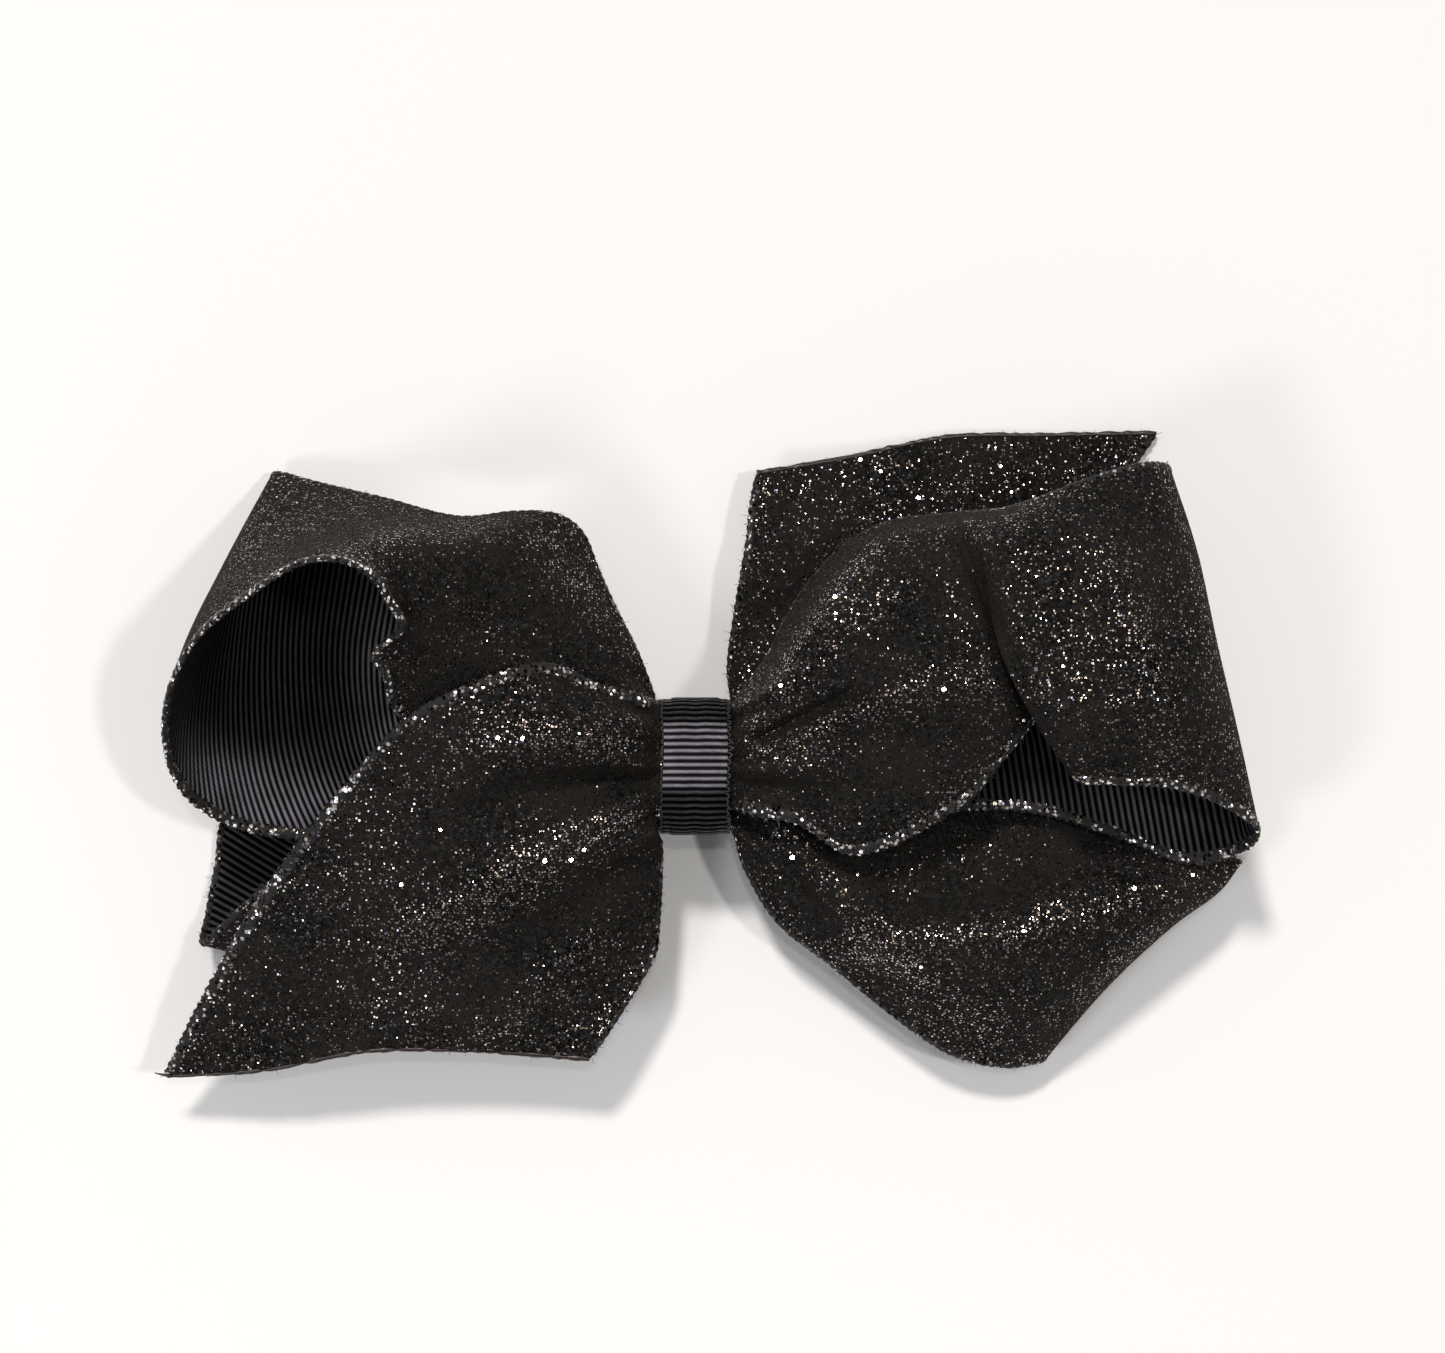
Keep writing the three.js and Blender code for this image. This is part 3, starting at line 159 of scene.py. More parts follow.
UPPER_RIGHT_TAIL = (
    ((3.74, 5.46, 7.95), (3.73, 1.92, 9.95), (3.73, -2.21, 10.95), (3.73, -6.39, 9.95), (3.74, -9.42, 7.95)),
    ((2.89, 12.00, 6.95), (6.46, 7.84, 8.33), (11.50, 3.09, 9.02), (16.25, -1.07, 8.94), (20.73, -4.95, 8.26)),
    ((3.93, 20.35, 6.94), (9.89, 16.17, 7.27), (16.59, 12.00, 7.51), (23.76, 7.83, 6.87), (31.29, 4.23, 5.15)),
    ((4.97, 26.43, 7.94), (12.73, 23.93, 6.57), (21.13, 20.98, 5.03), (30.19, 17.71, 3.26), (40.75, 15.01, 2.17)),
    ((5.87, 31.67, 7.13), (15.44, 30.23, 5.41), (25.68, 28.80, 3.42), (36.57, 26.74, 1.84), (49.23, 24.95, 1.35)),
    ((6.32, 36.47, 6.33), (17.86, 37.15, 4.40), (29.94, 36.95, 2.09), (42.32, 36.09, 1.16), (57.99, 34.89, 0.95)),
    ((7.22, 41.58, 5.52), (21.18, 44.09, 3.43), (36.00, 47.22, 1.27), (51.39, 47.55, 0.75), (67.33, 47.84, 0.95)),
)

FLAKES = (
    (26.2, 42.5), (32.1, 37.9), (23.1, 44.6), (45.9, 39.3), (44.4, 43.3), (-17.3, -13.6), (-23.6, -15.8), (-20.1, -15.6), (-38.9, -11.3), (-44.7, -19.2), (-27.2, 2.2), (-30.4, 2.1), (49.6, 13.0), (45.6, 4.7), (62.5, -19.0), (71.2, -17.2), (68.8, -14.3), (11.8, -15.1), (22.1, -17.0), (30.9, -31.5), (45.6, -24.9), (17.6, 20.4), (18.1, 23.2), (9.8, 10.0), (33.2, 9.3),
)

WORLD = 0.27
SUNS = (
    ("key", (-0.20, 0.62, 0.95), 7.0, 1.75, (1.0, 0.95, 0.88)),
    ("second", (0.50, 0.02, 1.05), 4.0, 0.60, (1.0, 0.97, 0.93)),
)
LIGHTS = (
    ("fill", (-0.62, -0.45, 0.9), 0.26, 2.4, (0.90, 0.92, 1.0)),
    ("overhead", (0.03, 0.20, 1.3), 0.06, 1.3, (1.0, 0.96, 0.9)),
)

# Soft ridges (+) and creases (-) the gathers press into the ribbon: height, half width, line in plan.
RIDGES = (
    (1.5, 3.4, ((-7.7, 1.9), (-18.5, 2.6), (-31.3, 2.3))),
    (2.5, 3.8, ((-8.0, -7.8), (-18.5, -12.0), (-34.5, -20.6), (-47.3, -28.0))),
    (-2.1, 2.9, ((-4.2, -3.2), (-15.6, -4.3), (-28.1, -5.7), (-40.0, -12.0))),
    (-1.5, 3.6, ((-9.0, -12.6), (-22.0, -24.0), (-34.0, -35.0))),
    (1.1, 3.2, ((-16.0, -27.0), (-28.0, -38.0), (-38.0, -43.0))),
    (0.8, 2.8, ((-34.5, 33.6), (-41.9, 32.6), (-48.3, 30.4), (-50.5, 27.2))),
    (-1.0, 3.4, ((-12.0, 8.0), (-22.0, 15.0), (-32.0, 26.0))),
    (0.6, 2.4, ((-10.0, 11.0), (-17.0, 20.0), (-25.0, 31.0))),
    (2.0, 3.2, ((2.7, 3.9), (10.1, 10.3), (17.4, 20.8), (23.8, 32.5))),
    (-3.6, 1.25, ((5.5, 1.5), (15.4, 6.4), (25.0, 10.9))),
    (-1.0, 3.2, ((20.0, 9.0), (28.0, 17.0), (33.0, 27.0))),
    (1.9, 2.9, ((2.7, 0.7), (13.3, 4.2), (23.8, 8.1), (34.6, 10.2), (45.2, 9.2))),
    (1.0, 2.2, ((4.7, -0.3), (11.8, -0.7), (18.6, -1.4))),
    (-1.5, 3.2, ((4.6, -2.9), (16.1, -5.1), (27.8, -2.9))),
    (1.8, 3.8, ((24.1, -28.3), (45.6, -25.2), (56.3, -19.8), (71.4, -16.6))),
    (-1.4, 3.4, ((24.0, -21.5), (42.0, -18.5), (52.0, -14.0))),
    (-1.8, 1.8, ((11.2, -14.4), (14.1, -19.8), (17.6, -25.1))),
    (1.2, 3.0, ((6.0, -9.5), (16.0, -17.0), (30.0, -31.0), (42.0, -41.0))),
    (-1.5, 1.2, ((35.2, 33.0), (39.4, 22.6), (43.8, 12.8), (46.6, 4.4), (49.2, -1.2))),
    (1.1, 3.4, ((58.0, 28.0), (62.0, 14.0), (66.0, -2.0))),
)


def smooth(x):
    x = np.clip(x, 0.0, 1.0)
    return x * x * (3 - 2 * x)


def catmull(P, t):
    n = len(P)
    i = np.clip(np.floor(t).astype(int), 0, n - 2)
    f = (t - i)[:, None]
    E = np.vstack([2 * P[0] - P[1], P, 2 * P[-1] - P[-2]])
    a, b, c, d = E[i], E[i + 1], E[i + 2], E[i + 3]
    return 0.5 * (2 * b + (c - a) * f + (2 * a - 5 * b + 4 * c - d) * f**2 + (3 * b - a - 3 * c + d) * f**3)


def unit(v):
    return v / np.maximum(np.linalg.norm(v, axis=-1, keepdims=True), 1e-9)


def relief(x, y):
    """Height the gathers add at a point in plan. Every layer of the stack moves by the same field, so layers keep apart."""
    h = np.zeros_like(x)
    for height, half, line in RIDGES:
        line = np.array(line)
        seg = np.linalg.norm(np.diff(line, axis=0), axis=1)
        total = seg.sum()
        best = np.full(x.shape, 1e9)
        along = np.zeros_like(x)
        start = 0.0
        for a, b, length in zip(line[:-1], line[1:], seg):
            d = (b - a) / length
            s = np.clip((x - a[0]) * d[0] + (y - a[1]) * d[1], 0, length)
            r = np.hypot(x - a[0] - s * d[0], y - a[1] - s * d[1])
            near = r < best
            best = np.where(near, r, best)
            along = np.where(near, start + s, along)
            start += length
        fade = smooth(along / 5.0 + 0.35) * smooth((total - along) / (0.45 * total) + 0.08)
        h += height * fade * np.exp(-((best / half) ** 2))
    # gathers beside the wrap
    away = np.abs(x - KNOT[0]) - 5.0
    fan = (y - KNOT[1]) / (1 + np.maximum(away, 0) * 0.075)
    band = smooth((11.5 - np.abs(fan)) / 3.5)
    h += 1.0 * band * np.exp(-((away / 12.0) ** 2)) * np.cos(2 * np.pi * (fan + 0.5 * np.sin(fan * 0.9)) / 4.1 + 0.6 * np.sign(x - KNOT[0]))
    # slack of the cloth
    h += 0.30 * np.sin(x / 6.1 + 0.8 * np.sin(y / 7.3)) * np.cos(y / 5.2 + 0.7 * np.sin(x / 9.1)) * smooth((away - 4) / 10)
    h += 0.10 * np.sin(x / 2.3 + 1.9 * np.sin(y / 3.1)) * np.cos(y / 2.6 + 1.3 * np.sin(x / 3.7)) * smooth((away - 4) / 10)
    return h * smooth((np.abs(x - KNOT[0]) - 3.2) / 4.6)


for station, shift in ((8, 1.2), (9, 2.6), (10, 3.2), (11, 3.0), (12, 1.2)):
    row = [list(p) for p in UPPER_RIGHT_LOOP[station]]
    row[1][0] -= shift
    row[2][0] -= 0.35 * shift
    UPPER_RIGHT_LOOP = UPPER_RIGHT_LOOP[:station] + (tuple(tuple(p) for p in row),) + UPPER_RIGHT_LOOP[station + 1:]


def nap_parting_and_ridge_light(x, y):
    """Foil share and brightness along the ribbon: high on the ridges and low in the creases, partly the nap parting
    where the ribbon bends outwards and partly painted highlight on the ridges and painted shade in the creases.
    """
    total = np.zeros_like(x)
    for height, half, line in RIDGES:
        line = np.array(line)
        near = np.full(x.shape, 1e9)
        for a, b in zip(line[:-1], line[1:]):
            length = np.linalg.norm(b - a)
            d = (b - a) / length
            s = np.clip((x - a[0]) * d[0] + (y - a[1]) * d[1], 0, length)
            near = np.minimum(near, np.hypot(x - a[0] - s * d[0], y - a[1] - s * d[1]))
        total += np.clip(height / 1.6, -1.0, 1.0) * np.exp(-((near / (0.85 * half)) ** 2))
    drift = 0.16 * np.sin(x / 7.7 + 1.3 * np.sin(y / 8.9)) * np.sin(y / 6.3 + 1.1 * np.sin(x / 10.3))
    return np.clip(0.30 + 0.75 * total + drift, 0.0, 1.0)


def lobe_surface(net, step):
    """Points (along, across), unit normals towards the glitter face, lengths along, and whether both ends run under the
    wrap.
    """
    G = np.array(net, float)
    ends = [0] if len(G) % 100 and not np.allclose(G[0, 2, 0], G[-1, 2, 0], atol=1.5) else [0, -1]
    first = G[0].copy()
    inward = -np.sign(first[2, 0] - KNOT[0])
    # the ribbon runs on under the wrap
    def tucked(row):
        t = row.copy()
        t[:, 0] += inward * 3.4
        t[:, 1:] = KNOT[1:] + (t[:, 1:] - KNOT[1:]) * 0.96
        return t
    G = np.concatenate([tucked(G[0])[None], G] + ([tucked(G[-1])[None]] if -1 in ends else []))
    nv = 64
    vv = np.linspace(0, 4, nv + 1)
    A = np.stack([catmull(row, vv) for row in G])
    fine = np.linspace(0, len(G) - 1, (len(G) - 1) * 10 + 1)
    B = np.stack([catmull(A[:, j], fine) for j in range(nv + 1)], 1)
    mean = B.mean(1)
    run = np.r_[0, np.cumsum(np.linalg.norm(np.diff(mean, axis=0), axis=1))]
    nu = int(round(run[-1] / step))
    tu = np.interp(np.linspace(0, run[-1], nu + 1), run, fine)
    P = np.stack([catmull(A[:, j], tu) for j in range(nv + 1)], 1)
    if abs(P[0, 0, 1] - 4.0) < 60 and P[..., 2].max() > 42:
        # the rim of the tall loop curls in on itself where it turns back
        rim = np.linspace(0, 1, nv + 1)[None] * RIBBON
        near = np.exp(-((rim / 5.5) ** 2)) * (P[..., 2] > 24)
        turn_in = np.exp(-(((P[..., 1] - 14.6) / 2.2) ** 2)) * smooth((P[..., 0] + 56) / 6)
        turn_out = np.exp(-(((P[..., 1] - 18.6) / 2.2) ** 2)) * smooth((P[..., 0] + 56) / 6)
        P[..., 0] += near * (-2.3 * turn_in + 1.5 * turn_out)
        P[..., 2] += near * (-1.0 * turn_in + 0.5 * turn_out)
    weight = smooth((P[..., 2] - 4.0) / 11.0)
    P[..., 2] += relief(P[..., 0], P[..., 1]) * weight
    N = unit(np.cross(np.gradient(P, axis=0), np.gradient(P, axis=1)))
    if N[: max(4, nu // 6), :, 2].mean() < 0:
        N = -N
    return P, N, np.linspace(0, run[-1], nu + 1), -1 in ends


def new_mesh(name, V, F, materials, face_material=None, uv=None, body="bow", smooth_faces=True):
    me = bpy.data.meshes.new(name)
    V = np.asarray(V, float) * MM
    F = np.asarray(F, int)
    me.vertices.add(len(V))
    me.vertices.foreach_set("co", V.ravel())
    k = F.shape[1]
    me.loops.add(F.size)
    me.loops.foreach_set("vertex_index", F.ravel())
    me.polygons.add(len(F))
    me.polygons.foreach_set("loop_start", np.arange(len(F)) * k)
    me.polygons.foreach_set("loop_total", np.full(len(F), k))
    me.polygons.foreach_set("use_smooth", np.full(len(F), smooth_faces))
    for m in materials:
        me.materials.append(m)
    if face_material is not None:
        me.polygons.foreach_set("material_index", np.asarray(face_material, int))
    if uv is not None:
        layer = me.uv_layers.new(name="cloth")
        layer.data.foreach_set("uv", np.asarray(uv, float)[F.ravel()].ravel())
    me.update(calc_edges=True)
    me.validate()
    ob = bpy.data.objects.new(name, me)
    bpy.context.scene.collection.objects.link(ob)
    if body:
        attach(ob, body)
    return ob


def grid_faces(nu, nv, base=0, flip=False, wrap_v=False):
    cols = nv if wrap_v else nv + 1
    i, j = np.meshgrid(np.arange(nu), np.arange(nv), indexing="ij")
    j2 = (j + 1) % cols if wrap_v else j + 1
    a = base + i * cols + j
    b = base + (i + 1) * cols + j
    c = base + (i + 1) * cols + j2
    d = base + i * cols + j2
    F = np.stack([a, b, c, d], -1).reshape(-1, 4)
    return F[:, ::-1] if flip else F


# ---- materials --------------------------------------------------------------------------------------
class Nodes:
    def __init__(self, name):
        self.m = bpy.data.materials.new(name)
        self.m.use_nodes = True
        self.t = self.m.node_tree
        self.t.nodes.clear()
        self.out = self.t.nodes.new("ShaderNodeOutputMaterial")
        self.bsdf = self.t.nodes.new("ShaderNodeBsdfPrincipled")
        self.t.links.new(self.bsdf.outputs[0], self.out.inputs[0])

    def node(self, kind, **props):
        n = self.t.nodes.new("ShaderNode" + kind)
        for k, v in props.items():
            setattr(n, k, v)
        return n

    def put(self, socket, value):
        if hasattr(value, "is_output"):
            self.t.links.new(value, socket)
        else:
            socket.default_value = value

    def math(self, op, a, b=0.0, c=0.0, clamp=False):
        n = self.node("Math", operation=op, use_clamp=clamp)
        for s, v in zip(n.inputs, (a, b, c)):
            self.put(s, v)
        return n.outputs[0]

    def vmath(self, op, a, b=None, scale=None):
        n = self.node("VectorMath", operation=op)
        self.put(n.inputs[0], a)
        if b is not None:
            self.put(n.inputs[1], b)
        if scale is not None:
            self.put(n.inputs["Scale"], scale)
        return n.outputs["Value"] if op in ("DOT_PRODUCT", "LENGTH") else n.outputs[0]

    def mix(self, f, a, b):
        n = self.node("Mix", data_type="RGBA")
        self.put(n.inputs[0], f)
        self.put(n.inputs[6], a)
        self.put(n.inputs[7], b)
        return n.outputs[2]

    def ramp(self, f, a, b, lo=0.0, hi=1.0):
        n = self.node("MapRange", clamp=True)
        for s, v in zip(n.inputs, (f, a, b, lo, hi)):
            self.put(s, v)
        return n.outputs[0]

    def noise(self, vec, scale, detail=2.0, rough=0.5):
        n = self.node("TexNoise")
        self.put(n.inputs["Vector"], vec)
        n.inputs["Scale"].default_value = scale
        n.inputs["Detail"].default_value = detail
        n.inputs["Roughness"].default_value = rough
        return n.outputs[0]

    def set(self, **values):
        names = {
            "color": "Base Color", "metal": "Metallic", "rough": "Roughness", "normal": "Normal", "sheen": "Sheen Weight",
            "sheen_rough": "Sheen Roughness", "sheen_tint": "Sheen Tint", "coat": "Coat Weight", "coat_rough": "Coat Roughness",
            "spec": "Specular IOR Level", "sub": "Subsurface Weight", "trans": "Transmission Weight", "ior": "IOR",
            "aniso": "Anisotropic",
        }
        for k, v in values.items():
            self.put(self.bsdf.inputs[names[k]], v)


def glitter_material(name, dark, brown, size, share, spread, gain, big_share, sheen=0.35):
    """Napped cloth carrying foil flakes; every flake faces its own way."""
    n = Nodes(name)
    where = n.node("TexCoord").outputs["Object"]
    facing = n.node("NewGeometry").outputs["Normal"]
    fuzz = n.math("ADD", n.math("MULTIPLY", n.noise(where, 2900.0, 3.0, 0.65), 0.6), n.math("MULTIPLY", n.noise(where, 1150.0, 2.0, 0.6), 0.4))
    cloud = n.noise(where, 90.0, 3.0, 0.55)
    cool = n.mix(n.ramp(n.noise(where, 700.0, 2.0), 0.40, 0.60), (*brown, 1), (0.85 * brown[0], 0.95 * brown[0], 1.05 * brown[0], 1))
    nap = n.mix(n.ramp(fuzz, 0.465, 0.64), (*dark, 1), cool)
    nap = n.mix(n.ramp(cloud, 0.35, 0.7), nap, (*[0.55 * a + 0.45 * b for a, b in zip(dark, brown)], 1))
    # foil share and foil colour follow this attribute: partly the nap parting on bends, partly painted highlight on the
    # ridges and painted shade in the creases
    parting_and_ridge_light_fac = n.node("Attribute", attribute_name="parting_and_ridge_light").outputs["Fac"]
    masks, tilts, tones = [], [], []
    for cell, keep, radius, push, level in ((size, share, 0.40, spread, gain), (size * 3.1, big_share, 0.155, spread * 0.7, gain * 2.2)):
        v = n.node("TexVoronoi")
        n.put(v.inputs["Vector"], where)
        v.inputs["Scale"].default_value = 1.0 / (cell * MM)
        rgb = n.node("SeparateColor")
        n.put(rgb.inputs[0], v.outputs["Color"])
        shown = n.math("MULTIPLY", n.math("LESS_THAN", rgb.outputs[0], n.ramp(parting_and_ridge_light_fac, 0.0, 1.0, 0.42 * keep, 1.75 * keep)), n.math("LESS_THAN", v.outputs["Distance"], radius))
        masks.append(shown)
        own = n.node("TexWhiteNoise", noise_dimensions="3D")
        n.put(own.inputs["Vector"], v.outputs["Color"])
        tilt = n.vmath("SCALE", n.vmath("SUBTRACT", own.outputs["Color"], (0.5, 0.5, 0.5)), scale=push)
        tilts.append(tilt)
        tones.append(n.math("MULTIPLY", n.math("POWER", rgb.outputs[1], 3.4), n.ramp(parting_and_ridge_light_fac, 0.0, 1.0, 0.45 * level, 2.0 * level)))
    tilt = n.node("Mix", data_type="VECTOR")
    n.put(tilt.inputs[0], masks[1]); n.put(tilt.inputs[4], tilts[0]); n.put(tilt.inputs[5], tilts[1])
    lean = n.node("LayerWeight")
    lean.inputs["Blend"].default_value = 0.5
    facing_off = lean.outputs["Facing"]
    standing = n.ramp(facing_off, 0.50, 0.97, 1.0, 0.15)
    mask = n.math("MULTIPLY", n.math("MAXIMUM", masks[0], masks[1]), n.math("GREATER_THAN", standing, n.noise(where, 4100.0, 0.0)))
    # painted sheen: where the cloth is seen edge-on, its nap colour is mixed towards a speckled lighter brown
    painted_grazing_sheen = n.mix(n.ramp(n.noise(where, 1700.0, 3.0, 0.75), 0.44, 0.60), (*[0.12 * c for c in brown], 1), (1.55 * brown[0], 1.35 * brown[1], 1.05 * brown[2], 1))
    nap = n.mix(n.ramp(facing_off, 0.40, 0.95, 0.0, 0.8), nap, painted_grazing_sheen)
    tone = n.math("ADD", n.math("MULTIPLY", tones[0], n.math("SUBTRACT", 1.0, masks[1])), n.math("MULTIPLY", tones[1], masks[1]))
    tone = n.math("MINIMUM", tone, 1.0)
    hue = n.noise(where, 1500.0, 0.0)
    foil = n.mix(n.ramp(hue, 0.55, 0.64), (1.0, 0.86, 0.69, 1), (0.78, 0.76, 0.98, 1))
    hue2 = n.noise(n.vmath("ADD", where, (0.31, 0.17, 0.05)), 1900.0, 0.0)
    foil = n.mix(n.ramp(hue2, 0.56, 0.66, 0.0, 0.7), foil, (0.98, 0.66, 0.80, 1))
    lit = n.vmath("SCALE", foil, scale=n.math("MULTIPLY", tone, 1.0))
    nap_bump = n.node("Bump")
    nap_bump.inputs["Strength"].default_value = 0.9
    nap_bump.inputs["Distance"].default_value = 0.00022
    n.put(nap_bump.inputs["Height"], n.noise(where, 3400.0, 2.0, 0.7))
    turned = n.vmath("NORMALIZE", n.vmath("ADD", facing, tilt.outputs[1]))
    nm = n.node("Mix", data_type="VECTOR")
    n.put(nm.inputs[0], mask); n.put(nm.inputs[4], nap_bump.outputs[0]); n.put(nm.inputs[5], turned)
    n.set(color=n.mix(mask, nap, lit), metal=mask, rough=n.ramp(mask, 0.0, 1.0, 0.92, 0.24), normal=nm.outputs[1],
          sheen=sheen, sheen_rough=0.45, sheen_tint=(0.62, 0.50, 0.40, 1), spec=0.10)
    return n.m


def grosgrain_material(name, color, light):
    """Ribs are modelled; this adds the warp threads that cross them, and painted light: the colour and the specular
    level are scaled by a per-point attribute of painted highlight and painted shade, and the grooves are painted near
    black as painted shade.
    """
    n = Nodes(name)
    uv = n.node("UVMap", uv_map="cloth").outputs[0]
    xyz = n.node("SeparateXYZ")
    n.put(xyz.inputs[0], uv)
    along = n.math("MULTIPLY", xyz.outputs[0], 1.0)
    across = xyz.outputs[1]
    warp = n.math("SINE", n.math("MULTIPLY", across, 2 * math.pi / 0.27))
    weft = n.math("SINE", n.math("MULTIPLY", n.math("ADD", n.math("MULTIPLY", along, 2 * math.pi / RIB_PITCH), n.math("MULTIPLY", across, 1.2)), 3.0))
    where = n.node("TexCoord").outputs["Object"]
    fibre = n.noise(where, 5200.0, 2.0, 0.6)
    rise = n.math("ADD", n.math("MULTIPLY", warp, 0.5), n.math("ADD", n.math("MULTIPLY", weft, 0.25), n.math("MULTIPLY", fibre, 0.9)))
    bump = n.node("Bump")
    bump.inputs["Strength"].default_value = 0.75
    bump.inputs["Distance"].default_value = 0.00006
    n.put(bump.inputs["Height"], rise)
    cloud = n.noise(where, 260.0, 3.0, 0.6)
    tone = n.mix(n.ramp(cloud, 0.3, 0.72), (*color, 1), (*light, 1))
    rib = n.math("COSINE", n.math("MULTIPLY", along, 2 * math.pi / RIB_PITCH))
    # painted highlight and painted shade: this per-point attribute scales the grosgrain's colour and specular level,
    # bright where the ribs should catch the light and dark where they should lie in shade
    painted_gleam = n.node("Attribute", attribute_name="painted_gleam").outputs["Fac"]
    tone = n.vmath("SCALE", tone, scale=painted_gleam)
    # painted shade: the grooves between the modelled ribs are coloured near black
    tone = n.mix(n.ramp(rib, -0.4, 0.85, 0.95, 0.0), tone, (0.0006, 0.0006, 0.0008, 1))
    n.set(color=tone, rough=n.ramp(rib, -0.6, 0.7, 0.75, 0.30), normal=bump.outputs[0], sheen=0.03, sheen_rough=0.35,
          sheen_tint=(0.75, 0.74, 0.86, 1), spec=n.math("MULTIPLY", n.ramp(rib, -0.3, 0.8, 0.0, 0.95), n.ramp(painted_gleam, 0.0, 0.6, 0.15, 1.0)))
    return n.m


def lurex_material(name, painted_gleam):
    """Overcast of metallic yarn round the selvedge; the second argument scales the foil's colour, and a high value
    paints a highlight on edges that catch the light.
    """
    n = Nodes(name)
    where = n.node("TexCoord").outputs["Object"]
    facing = n.node("NewGeometry").outputs["Normal"]
    v = n.node("TexVoronoi")
    n.put(v.inputs["Vector"], where)
    v.inputs["Scale"].default_value = 1.0 / (0.55 * MM)
    rgb = n.node("SeparateColor")
    n.put(rgb.inputs[0], v.outputs["Color"])
    mask = n.math("MULTIPLY", n.math("LESS_THAN", rgb.outputs[0], 0.62), n.math("LESS_THAN", v.outputs["Distance"], 0.55))
    own = n.node("TexWhiteNoise", noise_dimensions="3D")
    n.put(own.inputs["Vector"], v.outputs["Color"])
    tilt = n.vmath("SCALE", n.vmath("SUBTRACT", own.outputs["Color"], (0.5, 0.5, 0.5)), scale=0.75)
    turned = n.vmath("NORMALIZE", n.vmath("ADD", facing, tilt))
    hue = n.noise(where, 1700.0, 0.0)
    foil = n.mix(n.ramp(hue, 0.50, 0.62), (0.98, 0.87, 0.76, 1), (0.80, 0.77, 0.97, 1))
    lit = n.vmath("SCALE", foil, scale=n.math("MULTIPLY", n.math("ADD", n.math("MULTIPLY", n.math("POWER", rgb.outputs[1], 3.6), 1.0), 0.004), n.ramp(n.noise(where, 75.0, 2.0), 0.40, 0.62, 0.35 * painted_gleam, painted_gleam)))
    bump = n.node("Bump")
    bump.inputs["Strength"].default_value = 0.8
    bump.inputs["Distance"].default_value = 0.00015
    n.put(bump.inputs["Height"], n.noise(where, 4200.0, 2.0, 0.6))
    nm = n.node("Mix", data_type="VECTOR")
    n.put(nm.inputs[0], mask); n.put(nm.inputs[4], bump.outputs[0]); n.put(nm.inputs[5], turned)
    n.set(color=n.mix(mask, (0.0035, 0.0033, 0.0036, 1), lit), metal=n.math("MULTIPLY", mask, 0.95), rough=n.ramp(mask, 0.0, 1.0, 0.7, 0.27),
          normal=nm.outputs[1], sheen=0.03, sheen_tint=(0.6, 0.5, 0.45, 1))
    return n.m


def steel_material(name, tone, rough):
    n = Nodes(name)
    where = n.node("TexCoord").outputs["Object"]
    stretched = n.vmath("MULTIPLY", where, (120.0, 2600.0, 2600.0))
    brushed = n.noise(stretched, 1.0, 3.0, 0.6)
    stain = n.noise(where, 160.0, 4.0, 0.6)
    bump = n.node("Bump")
    bump.inputs["Strength"].default_value = 0.25
    bump.inputs["Distance"].default_value = 0.00002
    n.put(bump.inputs["Height"], brushed)
    n.set(color=n.mix(n.ramp(stain, 0.4, 0.75), (*tone, 1), (*[0.72 * c for c in tone], 1)), metal=1.0,
          rough=n.ramp(n.math("ADD", n.math("MULTIPLY", brushed, 0.5), n.math("MULTIPLY", stain, 0.5)), 0.3, 0.7, rough, rough + 0.16), normal=bump.outputs[0])
    return n.m


def plain_material(name, color, rough, scale, depth, **more):
    n = Nodes(name)
    where = n.node("TexCoord").outputs["Object"]
    grain = n.noise(where, scale, 3.0, 0.6)
    bump = n.node("Bump")
    bump.inputs["Strength"].default_value = 0.6
    bump.inputs["Distance"].default_value = depth
    n.put(bump.inputs["Height"], grain)
    n.set(color=n.mix(n.ramp(grain, 0.3, 0.7), (*color, 1), (*[0.7 * c for c in color], 1)), rough=n.ramp(grain, 0.3, 0.7, rough, min(1.0, rough + 0.15)),
          normal=bump.outputs[0], **more)
    return n.m


GLITTER = glitter_material("glitter ribbon face", (0.0026, 0.0025, 0.0026), (0.0335, 0.0296, 0.0256), 0.35, 0.55, 0.46, 0.80, 0.11, 0.008)
GROSGRAIN = grosgrain_material("black grosgrain", (0.090, 0.086, 0.104), (0.205, 0.192, 0.238))
LUREX = lurex_material("metallic overcast", 1.0)
# painted highlight: the same overcast with its foil coloured four times brighter, for edges that catch the light
LUREX_PAINTED_BRIGHT = lurex_material("metallic overcast, lit", 4.0)
# painted highlight: a lighter copy of the grosgrain for the wrap, standing in for its lit ribs
GROSGRAIN_PAINTED_LIT = grosgrain_material("wrap grosgrain", (0.11, 0.104, 0.128), (0.25, 0.235, 0.285))
FOIL = steel_material("foil flake", (0.98, 0.90, 0.78), 0.16)
MELT = plain_material("heat-sealed edge", (0.020, 0.010, 0.007), 0.30, 2400.0, 0.00008, spec=0.6)
PICOT = plain_material("edge loops", (0.035, 0.033, 0.040), 0.45, 6000.0, 0.00004)
THREAD = plain_material("black thread", (0.010, 0.010, 0.012), 0.55, 6000.0, 0.00005, sheen=0.3)
NICKEL = steel_material("nickel-plated steel", (0.62, 0.60, 0.57), 0.20)
SPRING = steel_material("spring wire", (0.45, 0.45, 0.46), 0.24)
GLUE = plain_material("hot-melt glue", (0.62, 0.53, 0.36), 0.28, 900.0, 0.00012, sub=0.25, spec=0.5)
RUBBER = plain_material("moulded rubber", (0.014, 0.014, 0.015), 0.62, 3000.0, 0.00006)
HAIR = plain_material("loose nap", (0.020, 0.017, 0.015), 0.7, 5000.0, 0.00002, sheen=0.4)


